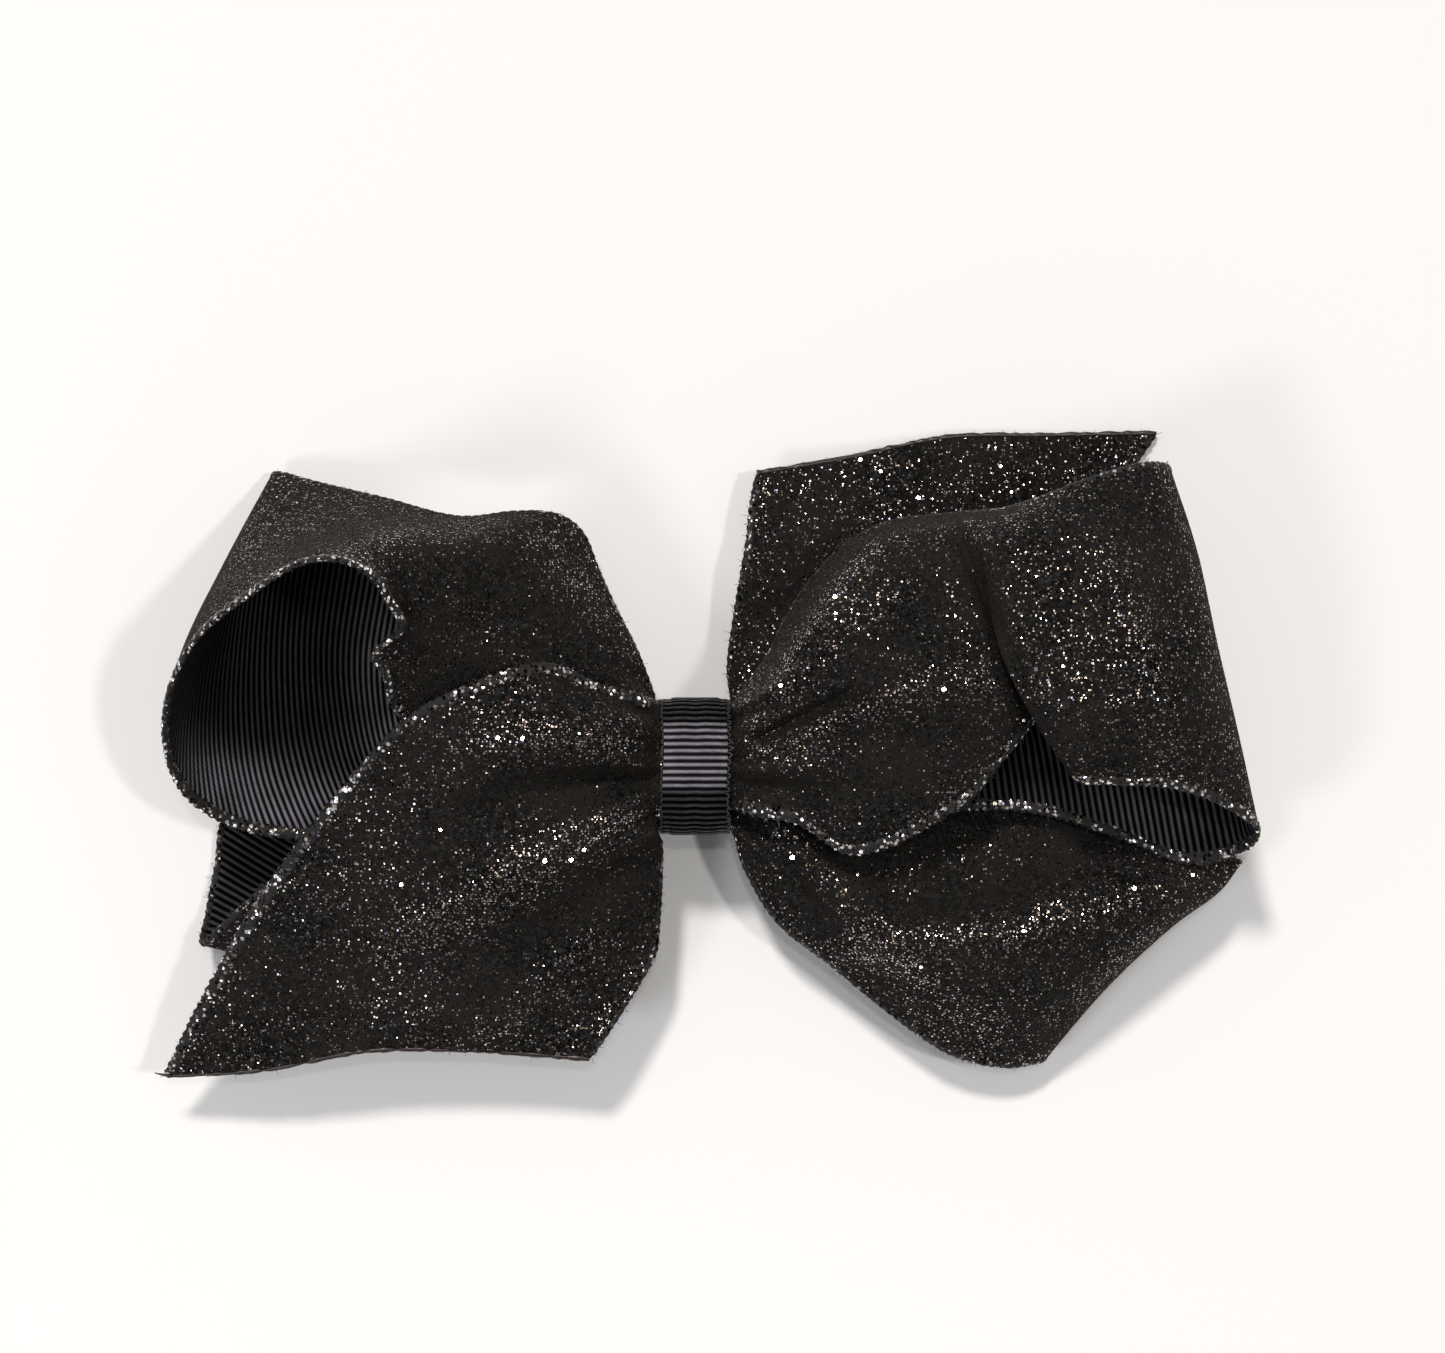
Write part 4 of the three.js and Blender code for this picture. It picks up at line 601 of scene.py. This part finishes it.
# ---- building blocks --------------------------------------------------------------------------------
def resample(C, step, *more):
    run = np.r_[0, np.cumsum(np.linalg.norm(np.diff(C, axis=0), axis=1))]
    count = max(2, int(round(run[-1] / step)))
    t = np.linspace(0, run[-1], count + 1)
    pick = lambda A: np.stack([np.interp(t, run, A[:, k]) for k in range(3)], 1)
    return pick(C), t, [unit(pick(m)) for m in more]


def tube(C, radius, sides=6, closed=False):
    """V, F of a round tube along C; radius is a number or one per point."""
    C = np.asarray(C, float)
    T = unit(np.gradient(C, axis=0))
    up = np.array([0.0, 0.0, 1.0])
    A = np.zeros_like(C)
    a = np.cross(T[0], up) if abs(T[0] @ up) < 0.9 else np.cross(T[0], [1.0, 0, 0])
    for i in range(len(C)):
        a = a - T[i] * (a @ T[i])
        a = a / max(np.linalg.norm(a), 1e-9)
        A[i] = a
    B = np.cross(T, A)
    r = np.broadcast_to(np.asarray(radius, float), (len(C),))
    th = np.linspace(0, 2 * np.pi, sides, endpoint=False)
    V = C[:, None] + r[:, None, None] * (A[:, None] * np.cos(th)[None, :, None] + B[:, None] * np.sin(th)[None, :, None])
    V = V.reshape(-1, 3)
    F = grid_faces(len(C) - 1, sides, wrap_v=True)
    V, F = cap(V, F, sides, len(C))
    return V, F


def cap(V, F, sides, rows):
    V = np.vstack([V, V[:sides].mean(0), V[-sides:].mean(0)])
    a, b = len(V) - 2, len(V) - 1
    j = np.arange(0, sides)
    k = (j + 1) % sides
    # quads with a doubled middle point would be degenerate, so ends are closed with triangles folded into quads over two sides
    ends = []
    for c, base, rev in ((a, 0, False), (b, (rows - 1) * sides, True)):
        for q in range(0, sides, 2):
            f = [c, base + q, base + (q + 1) % sides, base + (q + 2) % sides]
            ends.append(f[::-1] if rev else f)
    return V, np.vstack([F, np.array(ends)])


def joined(parts):
    V, F, base = [], [], 0
    for v, f in parts:
        V.append(v)
        F.append(np.asarray(f) + base)
        base += len(v)
    return np.vstack(V), np.vstack(F)


def cloth(name, P, N, U, width, inner_ribs, outer_mat, inner_mat, thick, body="bow", outer_ribs=False, phase=0.0, slant=0.0, painted_gleam=0.35):
    """A closed, thin sheet from a middle surface: the outside face, the inside face and the cut sides."""
    nu, nv = P.shape[0] - 1, P.shape[1] - 1
    v = np.linspace(0, 1, nv + 1)
    rail = np.minimum(v, 1 - v) * width
    plain = smooth((rail - 0.9) / 0.5)
    weft = U[:, None] + phase + slant * (v * width)[None, :]
    wave = 0.5 + 0.5 * np.cos(2 * np.pi * weft / RIB_PITCH)
    rib = 0.24 * wave**0.8 * plain[None, :]
    out = thick / 2 + (rib if outer_ribs else 0.0)
    inn = thick / 2 + (rib if inner_ribs else 0.0)
    O = P + N * (out[..., None] if np.ndim(out) else out)
    I = P - N * (inn[..., None] if np.ndim(inn) else inn)
    count = (nu + 1) * (nv + 1)
    V = np.vstack([O.reshape(-1, 3), I.reshape(-1, 3)])
    uv1 = np.stack([weft, np.broadcast_to((v * width)[None, :], weft.shape)], -1).reshape(-1, 2)
    uv = np.vstack([uv1, uv1])
    # which way round the outside faces must run
    a, b = P[1, 0] - P[0, 0], P[0, 1] - P[0, 0]
    mid = (nu // 2, nv // 2)
    a, b = P[mid[0] + 1, mid[1]] - P[mid], P[mid[0], mid[1] + 1] - P[mid]
    flip = np.dot(np.cross(a, b), N[mid]) < 0
    Fo = grid_faces(nu, nv, 0, flip)
    Fi = grid_faces(nu, nv, count, not flip)
    cols = nv + 1
    i = np.arange(nu)
    j = np.arange(nv)
    sides = [
        np.stack([i * cols, i * cols + count, (i + 1) * cols + count, (i + 1) * cols], 1),
        np.stack([i * cols + nv, (i + 1) * cols + nv, (i + 1) * cols + nv + count, i * cols + nv + count], 1),
        np.stack([j, j + 1, j + 1 + count, j + count], 1),
        np.stack([nu * cols + j, nu * cols + j + count, nu * cols + j + 1 + count, nu * cols + j + 1], 1),
    ]
    S = np.vstack([s[:, ::-1] if flip else s for s in sides])
    F = np.vstack([Fo, Fi, S])
    fm = np.r_[np.zeros(len(Fo)), np.ones(len(Fi)), np.zeros(len(S))]
    ob = new_mesh(name, V, F, [outer_mat, inner_mat], fm, uv, body=body)
    # painted highlight and painted shade for the grosgrain: a per-point colour scale, stored as an attribute
    lit = np.broadcast_to(np.asarray(painted_gleam, float), P.shape[:2]).ravel()
    ob.data.attributes.new("painted_gleam", "FLOAT", "POINT").data.foreach_set("value", np.r_[lit, lit])
    if not outer_ribs:
        # foil share for the glitter face, partly painted highlight on the ridges and painted shade in the creases,
        # raised near the cut sides
        rim = np.exp(-((rail / 2.6) ** 2))[None] * 0.35
        share = np.clip(nap_parting_and_ridge_light(P[..., 0], P[..., 1]) + rim, 0, 1).ravel()
        ob.data.attributes.new("parting_and_ridge_light", "FLOAT", "POINT").data.foreach_set("value", np.r_[share, share])
    return ob


def selvedge(C, n, b, seed, half=0.82, rise=0.44):
    """Overcast roll along an edge: slanted turns of yarn. C runs along the edge, n is the sheet's normal, b points off the edge."""
    C, s, (n, b) = resample(C, 0.2, n, b)
    r = np.random.default_rng(seed)
    sides = 12
    th = np.linspace(0, 2 * np.pi, sides, endpoint=False)
    wob = np.interp(s, np.arange(0, s[-1] + 2, 0.9), r.normal(0, 1, len(np.arange(0, s[-1] + 2, 0.9))))
    turn = 2 * np.pi * s / 1.35 + 0.6 * wob
    bulge = 1 + 0.12 * np.sin(turn[:, None] + 1.1 * np.cos(th)[None]) + 0.05 * np.sin(3.1 * turn[:, None] + 2 * th[None])
    ease = smooth(np.minimum(s, s[-1] - s) / 1.2 + 0.25)[:, None]
    x = (half * np.cos(th)[None] * bulge - 0.30) * ease
    y = rise * np.sin(th)[None] * bulge * ease
    V = C[:, None] + b[:, None] * x[..., None] + n[:, None] * y[..., None]
    F = grid_faces(len(C) - 1, sides, wrap_v=True)
    return cap(V.reshape(-1, 3), F, sides, len(C))


def hairs(C, n, b, seed, per_mm, length):
    """Loose fibres standing off an edge."""
    r = np.random.default_rng(seed)
    C, s, (n, b) = resample(C, 0.5, n, b)
    t = unit(np.gradient(C, axis=0))
    parts = []
    for _ in range(int(s[-1] * per_mm)):
        i = r.integers(0, len(C))
        L = length * r.uniform(0.35, 1.0)
        d = unit(b[i] * r.uniform(0.5, 1.0) + n[i] * r.normal(0, 0.45) + t[i] * r.normal(0, 0.7))
        bend = unit(r.normal(0, 1, 3)) * L * 0.35
        k = np.linspace(0, 1, 5)[:, None]
        path = C[i] + b[i] * 0.25 + d * L * k + bend * k**2
        parts.append(tube(path, 0.045 * (1 - 0.6 * k[:, 0]), 4))
    return parts


# ---- the ribbon -------------------------------------------------------------------------------------
LOBES = (
    ("lower_left_tail", LOWER_LEFT_TAIL),
    ("upper_left_loop", UPPER_LEFT_LOOP),
    ("lower_left_loop", LOWER_LEFT_LOOP),
    ("upper_right_loop", UPPER_RIGHT_LOOP),
    ("lower_right_loop", LOWER_RIGHT_LOOP),
    ("upper_right_tail", UPPER_RIGHT_TAIL),
)
STEP = 0.2
report = {}
tops = []
for number, (name, net) in enumerate(LOBES):
    P, N, U, is_loop = lobe_surface(net, STEP)
    tops.append((P[:: max(1, int(0.4 / STEP))], N[:: max(1, int(0.4 / STEP))]))
    x, y = P[..., 0], P[..., 1]
    # painted light on the inner grosgrain: a per-point colour scale, low by default as painted shade
    painted_gleam, slant = 0.22, 0.0
    if name == "upper_left_loop":
        # painted highlight: the grosgrain inside is coloured brighter near the rim and on the wall beside the knot,
        # where it turns up towards the light, and kept dark elsewhere as painted shade
        slant = 0.45
        across_mm = np.linspace(0, RIBBON, P.shape[1])[None, :]
        near_rim = np.exp(-(((across_mm - 5.0) / 8.0) ** 2)) * smooth((U[:, None] / U[-1] - 0.55) / 0.08)
        wall = np.exp(-(((x + 47.0) / 5.5) ** 2)) * np.exp(-(((y - 13.0) / 11.0) ** 2))
        painted_gleam = 0.07 + 0.85 * np.maximum(near_rim, wall)
    elif name == "upper_right_loop":
        # painted highlight: a brighter band across the inside of this loop
        painted_gleam = 0.16 + 0.30 * np.exp(-(((x - 62.0) / 9.0) ** 2))
    sheet = cloth("visual_" + name, P, N, U, RIBBON, True, GLITTER, GROSGRAIN, THICK, phase=0.37 * number, slant=slant, painted_gleam=painted_gleam)
    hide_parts(name)
    hair_parts = []
    for side, (j, k) in enumerate(((0, 1), (-1, -2))):
        b = unit(P[:, j] - P[:, k])
        # painted highlight: these three edges get the overcast coloured brighter, and a wider roll
        lit = (name, side) in (("upper_right_loop", 1), ("lower_left_tail", 0), ("upper_left_loop", 0))
        V, F = selvedge(P[:, j], N[:, j], b, 100 + number * 2 + side, half=1.10 if lit else 0.64, rise=0.46 if lit else 0.40)
        new_mesh("selvedge_%s_%d" % (name, side + 1), V, F, [LUREX_PAINTED_BRIGHT if lit else LUREX])
        hair_parts += hairs(P[:, j], N[:, j], b, 200 + number * 2 + side, 0.9, 1.1)
    if not is_loop:
        # heat-sealed cut: a thin glossy bead
        end = P[-1]
        C, s, (n, b) = resample(end, 0.25, N[-1], unit(P[-1] - P[-2]))
        r = np.random.default_rng(300 + number)
        lump = np.interp(s, np.linspace(0, s[-1], 70), 1 + 0.22 * r.normal(0, 1, 70))
        bead = tube(C + b * 0.12, 0.40 * np.clip(lump, 0.6, 1.5), 8)
        parts = [bead]
        if name == "lower_left_tail":
            tip = end[0]
            off = unit((P[-1, 0] - P[-1, 3])[None])[0]
            k = np.linspace(0, 1, 9)[:, None]
            path = tip + off * 2.3 * k + np.array([0, 0.5, 0.3]) * k**2 - off * 0.3
            parts.append(tube(path, 0.30 * (1 - 0.75 * k[:, 0]), 6))
        V, F = joined(parts)
        new_mesh("sealed_cut_" + name, V, F, [MELT])
        hair_parts += hairs(end, N[-1], unit(P[-1] - P[-2]), 400 + number, 0.8, 0.9)
    V, F = joined(hair_parts)
    new_mesh("nap_" + name, V, F, [HAIR])
    du = np.linalg.norm(np.diff(P, axis=0), axis=-1)
    dv = np.linalg.norm(np.diff(P, axis=1), axis=-1)
    cells = np.linalg.norm(np.cross(np.diff(P, axis=0)[:, :-1], np.diff(P, axis=1)[:-1]), axis=-1)
    rails = du.sum(0)
    longest = float(rails.max())
    # The ribbon's length in a lobe is taken as the mean of its modelled rails.
    cut = float(rails.mean())
    if name in UNDER_DECLARED:
        cut = float(rails.min()) if is_loop else 0.85 * cut
    flat_area = cut * RIBBON
    longest = cut if is_loop else longest
    report[name] = (round(longest, 1), round(float(rails.min()), 1), round(cells.sum() / flat_area, 3))

# a few large foil flakes stand off the nap, turned so that they catch the key light
half_way = unit(unit(np.array([-200.0, 620.0, 950.0])) + np.array([0.0, 0.0, 1.0]))
big = np.random.default_rng(77)
parts = []
for x, y in FLAKES:
    best = None
    for P, N in tops:
        d = np.hypot(P[..., 0] - x, P[..., 1] - y)
        z = np.where(d < 0.9, P[..., 2], -99)
        k = np.unravel_index(z.argmax(), z.shape)
        if z[k] > -99 and (best is None or z[k] > best[0][2]):
            best = (P[k], N[k])
    if best is None:
        continue
    face = unit(half_way + big.normal(0, 0.035, 3))
    side = unit(np.cross(face, [0.3, 1.0, 0.1]))
    other = np.cross(face, side)
    at = best[0] + best[1] * (THICK / 2 + 0.16)
    th = np.linspace(0, 2 * np.pi, 6, endpoint=False) + big.uniform(0, 1)
    ring = at + (np.outer(np.cos(th), side) + np.outer(np.sin(th), other)) * big.uniform(0.22, 0.36)
    V = np.vstack([ring, ring - face * 0.05])
    F = [[0, 1, 2, 3], [0, 3, 4, 5], [9, 8, 7, 6], [11, 10, 9, 6]] + [[i, i + 6, (i + 1) % 6 + 6, (i + 1) % 6] for i in range(6)]
    parts.append((V, np.array(F)))
V, F = joined(parts)
new_mesh("large_flakes", V, F, [FOIL], smooth_faces=False)


# ---- the gathered middle ----------------------------------------------------------------------------
def bundle():
    rows, sides = 40, 160
    x = np.linspace(-6.3, 2.35, rows)
    th = np.linspace(0, 2 * np.pi, sides, endpoint=False)
    hy, hz = 8.7, 6.7
    e = 2 / 3.2
    sy = np.sign(np.cos(th)) * np.abs(np.cos(th)) ** e
    sz = np.sign(np.sin(th)) * np.abs(np.sin(th)) ** e
    V = []
    for i, xx in enumerate(x):
        nip = 1 - 0.07 * math.exp(-(((xx - KNOT[0]) / 2.2) ** 2))
        fold = 1 - 0.055 * np.abs(np.sin(th * 11 + 0.5 * np.sin(3 * th) + 0.05 * xx)) ** 0.6
        V.append(np.stack([np.full(sides, xx), KNOT[1] + hy * sy * fold * nip, KNOT[2] + hz * sz * fold * nip], 1))
    V = np.vstack(V)
    return cap(V, grid_faces(rows - 1, sides, wrap_v=True), sides, rows)


V, F = bundle()
core = new_mesh("visual_gathered_centre", V, F, [GLITTER])
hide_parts("gathered_centre")

# binding thread: turns pulled into the gathers, and two short ends
low, high = (np.array(v) * 1000 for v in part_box("binding_thread"))
mid, half = (low + high) / 2, (high - low) / 2
turns = 4
th = np.linspace(0, 2 * np.pi * turns, 90 * turns)
e = 2 / 3.2
path = np.stack([
    mid[0] + np.linspace(-1, 1, len(th)) * max(half[0] - 0.3, 0.2) + 0.08 * np.sin(th * 1.7),
    mid[1] + (half[1] - 0.28) * np.sign(np.cos(th)) * np.abs(np.cos(th)) ** e,
    mid[2] + (half[2] - 0.28) * np.sign(np.sin(th)) * np.abs(np.sin(th)) ** e,
], 1)
parts = [tube(path, 0.24, 8)]
for d in (-1, 1):
    k = np.linspace(0, 1, 14)[:, None]
    start = np.array([mid[0] + 0.2 * d, mid[1] + 0.5 * d, high[2] - 0.25])
    parts.append(tube(start + k * np.array([0.5 * d, 2.2 * d, 0]) + np.array([0.3, 0, 0.0]) * np.sin(6 * k), 0.2, 6))
V, F = joined(parts)
binding = new_mesh("visual_binding_thread", V, F, [THREAD])
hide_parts("binding_thread")


# ---- the centre wrap --------------------------------------------------------------------------------
def ring_point(hy, hz, angle):
    c, s = math.cos(angle), math.sin(angle)
    p = 2.5 if s < 0 else 2.5 - 0.42 * s
    k = (abs(c) ** p + abs(s) ** p) ** (-1 / p)
    return [hy * c * k, KNOT[2] + hz * s * k]


def even(path, step):
    """A smooth curve through the points, evenly spaced."""
    P = np.array(path, float)
    t = np.linspace(0, len(P) - 1, (len(P) - 1) * 24 + 1)
    C = catmull(P, t)
    run = np.r_[0, np.cumsum(np.linalg.norm(np.diff(C, axis=0), axis=1))]
    n = int(round(run[-1] / step))
    q = np.linspace(0, run[-1], n + 1)
    return np.stack([np.interp(q, run, C[:, k]) for k in range(C.shape[1])], 1), q


wrap_path = [[4.4, 4.45], [-4.6, 4.45], [-5.4, 5.1], [-7.9, 8.4]]
for i in range(16):
    wrap_path.append(ring_point(9.0 + 0.35 + 0.3, 7.0 + 0.35 + 0.3, math.pi * 199 / 180 - (math.pi * 218 / 180) * (i / 15)))
wrap_path += [[7.9, 8.0], [6.2, 4.6], [5.2, 3.35], [3.6, 2.95], [-3.4, 2.95]]
line, s = even(wrap_path, 0.1)
across = np.linspace(-1, 1, 33)
tangent = unit(np.gradient(line, axis=0))
normal2 = np.stack([-tangent[:, 1], tangent[:, 0]], 1)
centre = line.mean(0)
if ((line - centre) * normal2).sum() < 0:
    normal2 = -normal2
top = smooth((line[:, 1] - 15) / 6)
P = np.zeros((len(line), len(across), 3))
wander = 0.12 * np.sin(s / 5.3) + 0.07 * np.sin(s / 1.9)
P[..., 0] = KNOT[0] + across[None] * (WRAP_WIDTH / 2 - 0.12) + wander[:, None]
P[..., 1] = KNOT[1] + line[:, None, 0]
P[..., 2] = line[:, None, 1]
N = np.zeros_like(P)
N[..., 1] = normal2[:, None, 0]
N[..., 2] = normal2[:, None, 1]
# the band is drawn down a little between its edges where it rides on the folds
P -= N * (0.16 * top[:, None] * (0.5 + 0.5 * np.cos(across * 9.0))[None] * (1 - across**2)[None])[..., None]
# painted highlight on the wrap: its grosgrain is coloured bright on top and dark towards its ends as painted shade
on_top = smooth((P[..., 1] + 5.6) / 1.6) * smooth((5.2 - P[..., 1]) / 1.6) * (P[..., 2] > 19)
wrap = cloth("visual_centre_wrap", P, N, s, WRAP_WIDTH, True, GROSGRAIN_PAINTED_LIT, GROSGRAIN_PAINTED_LIT, 0.42, outer_ribs=True, phase=0.2, painted_gleam=0.10 + 0.90 * on_top)
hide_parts("centre_wrap")
loops = []
for side in (0, -1):
    sign = -1 if side == 0 else 1
    r = np.random.default_rng(900 + side)
    for k in np.arange(0.3, s[-1] - 0.3, RIB_PITCH):
        i = int(k / 0.1)
        reach = r.uniform(0.28, 0.62) if sign > 0 else r.uniform(0.12, 0.34)
        a = np.linspace(0, np.pi, 7)
        base = P[i, side]
        tt = np.array([0, tangent[i, 0], tangent[i, 1]])
        path = base + np.outer(np.sin(a) * reach, [sign, 0, 0]) + np.outer(-np.cos(a) * 0.34, tt) + N[i, side] * r.normal(0, 0.05)
        loops.append(tube(path, 0.13, 5))
V, F = joined(loops)
picot = new_mesh("picot_centre_wrap", V, F, [PICOT])


def blob(name, node, seed, mat, lift=0.0):
    """A squeezed-out patch of glue that fills the gap it was pressed into."""
    low, high = (np.array(v) * 1000 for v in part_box(node))
    mid, half = (low + high) / 2, (high - low) / 2
    r = np.random.default_rng(seed)
    phase = r.uniform(0, 6.28, 5)
    rows, sides = 15, 64
    th = np.linspace(0, 2 * np.pi, sides, endpoint=False)
    outline = 1 - 0.06 * (1 + sum(np.sin((k + 2) * th + phase[k]) / (k + 1.5) for k in range(5)) / 2)
    e = 2 / 3.0
    V = []
    for k in np.linspace(-1, 1, rows):
        w = (1 - abs(k) ** 3 * 0.999) ** (1 / 2.6)
        V.append(np.stack([
            mid[0] + half[0] * w * outline * np.sign(np.cos(th)) * np.abs(np.cos(th)) ** e,
            mid[1] + half[1] * w * outline * np.sign(np.sin(th)) * np.abs(np.sin(th)) ** e,
            np.full(sides, mid[2] + half[2] * k),
        ], 1))
    V, F = cap(np.vstack(V), grid_faces(rows - 1, sides, wrap_v=True), sides, rows)
    ob = new_mesh(name, V, F, [mat])
    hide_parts(node)
    return ob


blob("visual_wrap_glue", "wrap_glue", 51, GLUE)
blob("visual_clip_glue_pad", "clip_glue_pad", 52, GLUE)

# ---- the alligator clip -----------------------------------------------------------------------------
for node, mat, width, slot in (
    ("clip_upper_lever", NICKEL, 0.16, "clip_steel"),
    ("clip_lower_lever", NICKEL, 0.16, "clip_steel"),
    ("clip_hinge_pin", NICKEL, 0.12, "clip_steel"),
    ("clip_grip_pad", RUBBER, 0.12, "rubber"),
):
    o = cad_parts[node]
    o.data.materials.clear()
    o.data.materials.append(mat)
    bevel = o.modifiers.new("edge", "BEVEL")
    bevel.width = width * MM
    bevel.segments = 3
    bevel.limit_method = "ANGLE"
    bevel.angle_limit = math.radians(38)
    bevel.harden_normals = False
    for p in o.data.polygons:
        p.use_smooth = False

# torsion spring
X0, Y0, PX, PZ = 0.23, KNOT[1], 8.5, 3.5
pts = [[PX + 6.2, -1.3, PZ + 1.55], [PX + 3.2, -1.25, PZ + 1.5]]
for i in range(31):
    a = math.pi / 2 + 5 * math.pi * i / 30
    pts.append([PX + 1.3 * math.cos(a), -1.2 + 2.4 * i / 30, PZ + 1.3 * math.sin(a)])
pts += [[PX + 3.2, 1.25, PZ - 1.42], [PX + 6.2, 1.3, PZ - 1.6]]
C, _ = even([[x + X0, y + Y0, z] for x, y, z in pts], 0.12)
V, F = tube(C, 0.225, 12)
spring = new_mesh("visual_clip_spring", V, F, [SPRING], body=None)
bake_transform(spring)
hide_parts("clip_spring")

# grosgrain lining folded over the jaw
t = 0.4
hi, lo = 5.9 + 0.7 + 0.3 + t / 2, 5.9 - 0.3 - t / 2
turn = (hi - lo) / 2
path = [[20.0 - 0.6, hi], [8, hi], [-4, hi], [-15, hi], [-22.5, hi], [-24.5, hi]]
for i in range(1, 6):
    a = math.pi / 2 + math.pi * i / 6
    path.append([-24.5 + turn * math.cos(a), (hi + lo) / 2 + turn * math.sin(a)])
path += [[-24.5, lo], [-22.5, lo], [-14, lo], [-4, lo], [5.6, lo]]
line, s = even([[x + X0, z] for x, z in path], 0.1)
tangent = unit(np.gradient(line, axis=0))
normal2 = np.stack([-tangent[:, 1], tangent[:, 0]], 1)
across = np.linspace(-1, 1, 25)
P = np.zeros((len(line), 25, 3))
P[..., 0] = line[:, None, 0]
P[..., 1] = Y0 + across[None] * 3.4 + 0.05 * np.sin(s / 2.7)[:, None]
P[..., 2] = line[:, None, 1]
N = np.zeros_like(P)
N[..., 0] = normal2[:, None, 0]
N[..., 2] = normal2[:, None, 1]
if N[0, 0, 2] < 0:
    N = -N
lining = cloth("visual_clip_lining", P, N, s, 7.0, False, GROSGRAIN, GROSGRAIN, 0.16, outer_ribs=True)
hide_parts("clip_lining")

# ---- floor, light, camera ---------------------------------------------------------------------------
floor_mat = Nodes("pale floor")
floor_mat.set(color=(0.93, 0.935, 0.95, 1), rough=0.85, spec=0.1)
floor = new_mesh("floor", [[-4000, -4000, -0.25], [4000, -4000, -0.25], [4000, 4000, -0.25], [-4000, 4000, -0.25]], [[0, 1, 2, 3]], [floor_mat.m], body=None, smooth_faces=False)

world = bpy.data.worlds.new("studio") if bpy.context.scene.world is None else bpy.context.scene.world
bpy.context.scene.world = world
world.use_nodes = True
world.node_tree.nodes["Background"].inputs[0].default_value = (1.0, 0.965, 0.92, 1)
world.node_tree.nodes["Background"].inputs[1].default_value = WORLD


def area_light(name, where, size, watts, colour=(1, 1, 1)):
    light = bpy.data.lights.new(name, "AREA")
    light.shape = "DISK"
    light.size = size
    light.energy = watts
    light.color = colour
    ob = bpy.data.objects.new(name, light)
    ob.location = where
    d = -np.array(where) + np.array([0, 0, 0.015])
    ob.rotation_euler = Vector(d).to_track_quat("-Z", "Y").to_euler()
    bpy.context.scene.collection.objects.link(ob)
    return ob


for args in LIGHTS:
    area_light(*args)
for name, where, angle, strength, colour in SUNS:
    light = bpy.data.lights.new(name, "SUN")
    light.angle = math.radians(angle)
    light.energy = strength
    light.color = colour
    ob = bpy.data.objects.new(name, light)
    ob.location = where
    ob.rotation_euler = Vector([-c for c in where]).to_track_quat("-Z", "Y").to_euler()
    bpy.context.scene.collection.objects.link(ob)

camera = bpy.data.cameras.new("camera")
camera.sensor_width = 36.0
camera.lens = 36.0 * 585.0 / 212.4
camera.clip_start = 0.01
eye = bpy.data.objects.new("camera", camera)
eye.location = (2.07 * MM, 11.33 * MM, 600 * MM)
eye.rotation_euler = (0, 0, 0)
bpy.context.scene.collection.objects.link(eye)
bpy.context.scene.camera = eye
try:
    bpy.context.scene.view_settings.view_transform = "Standard"
except TypeError:
    pass
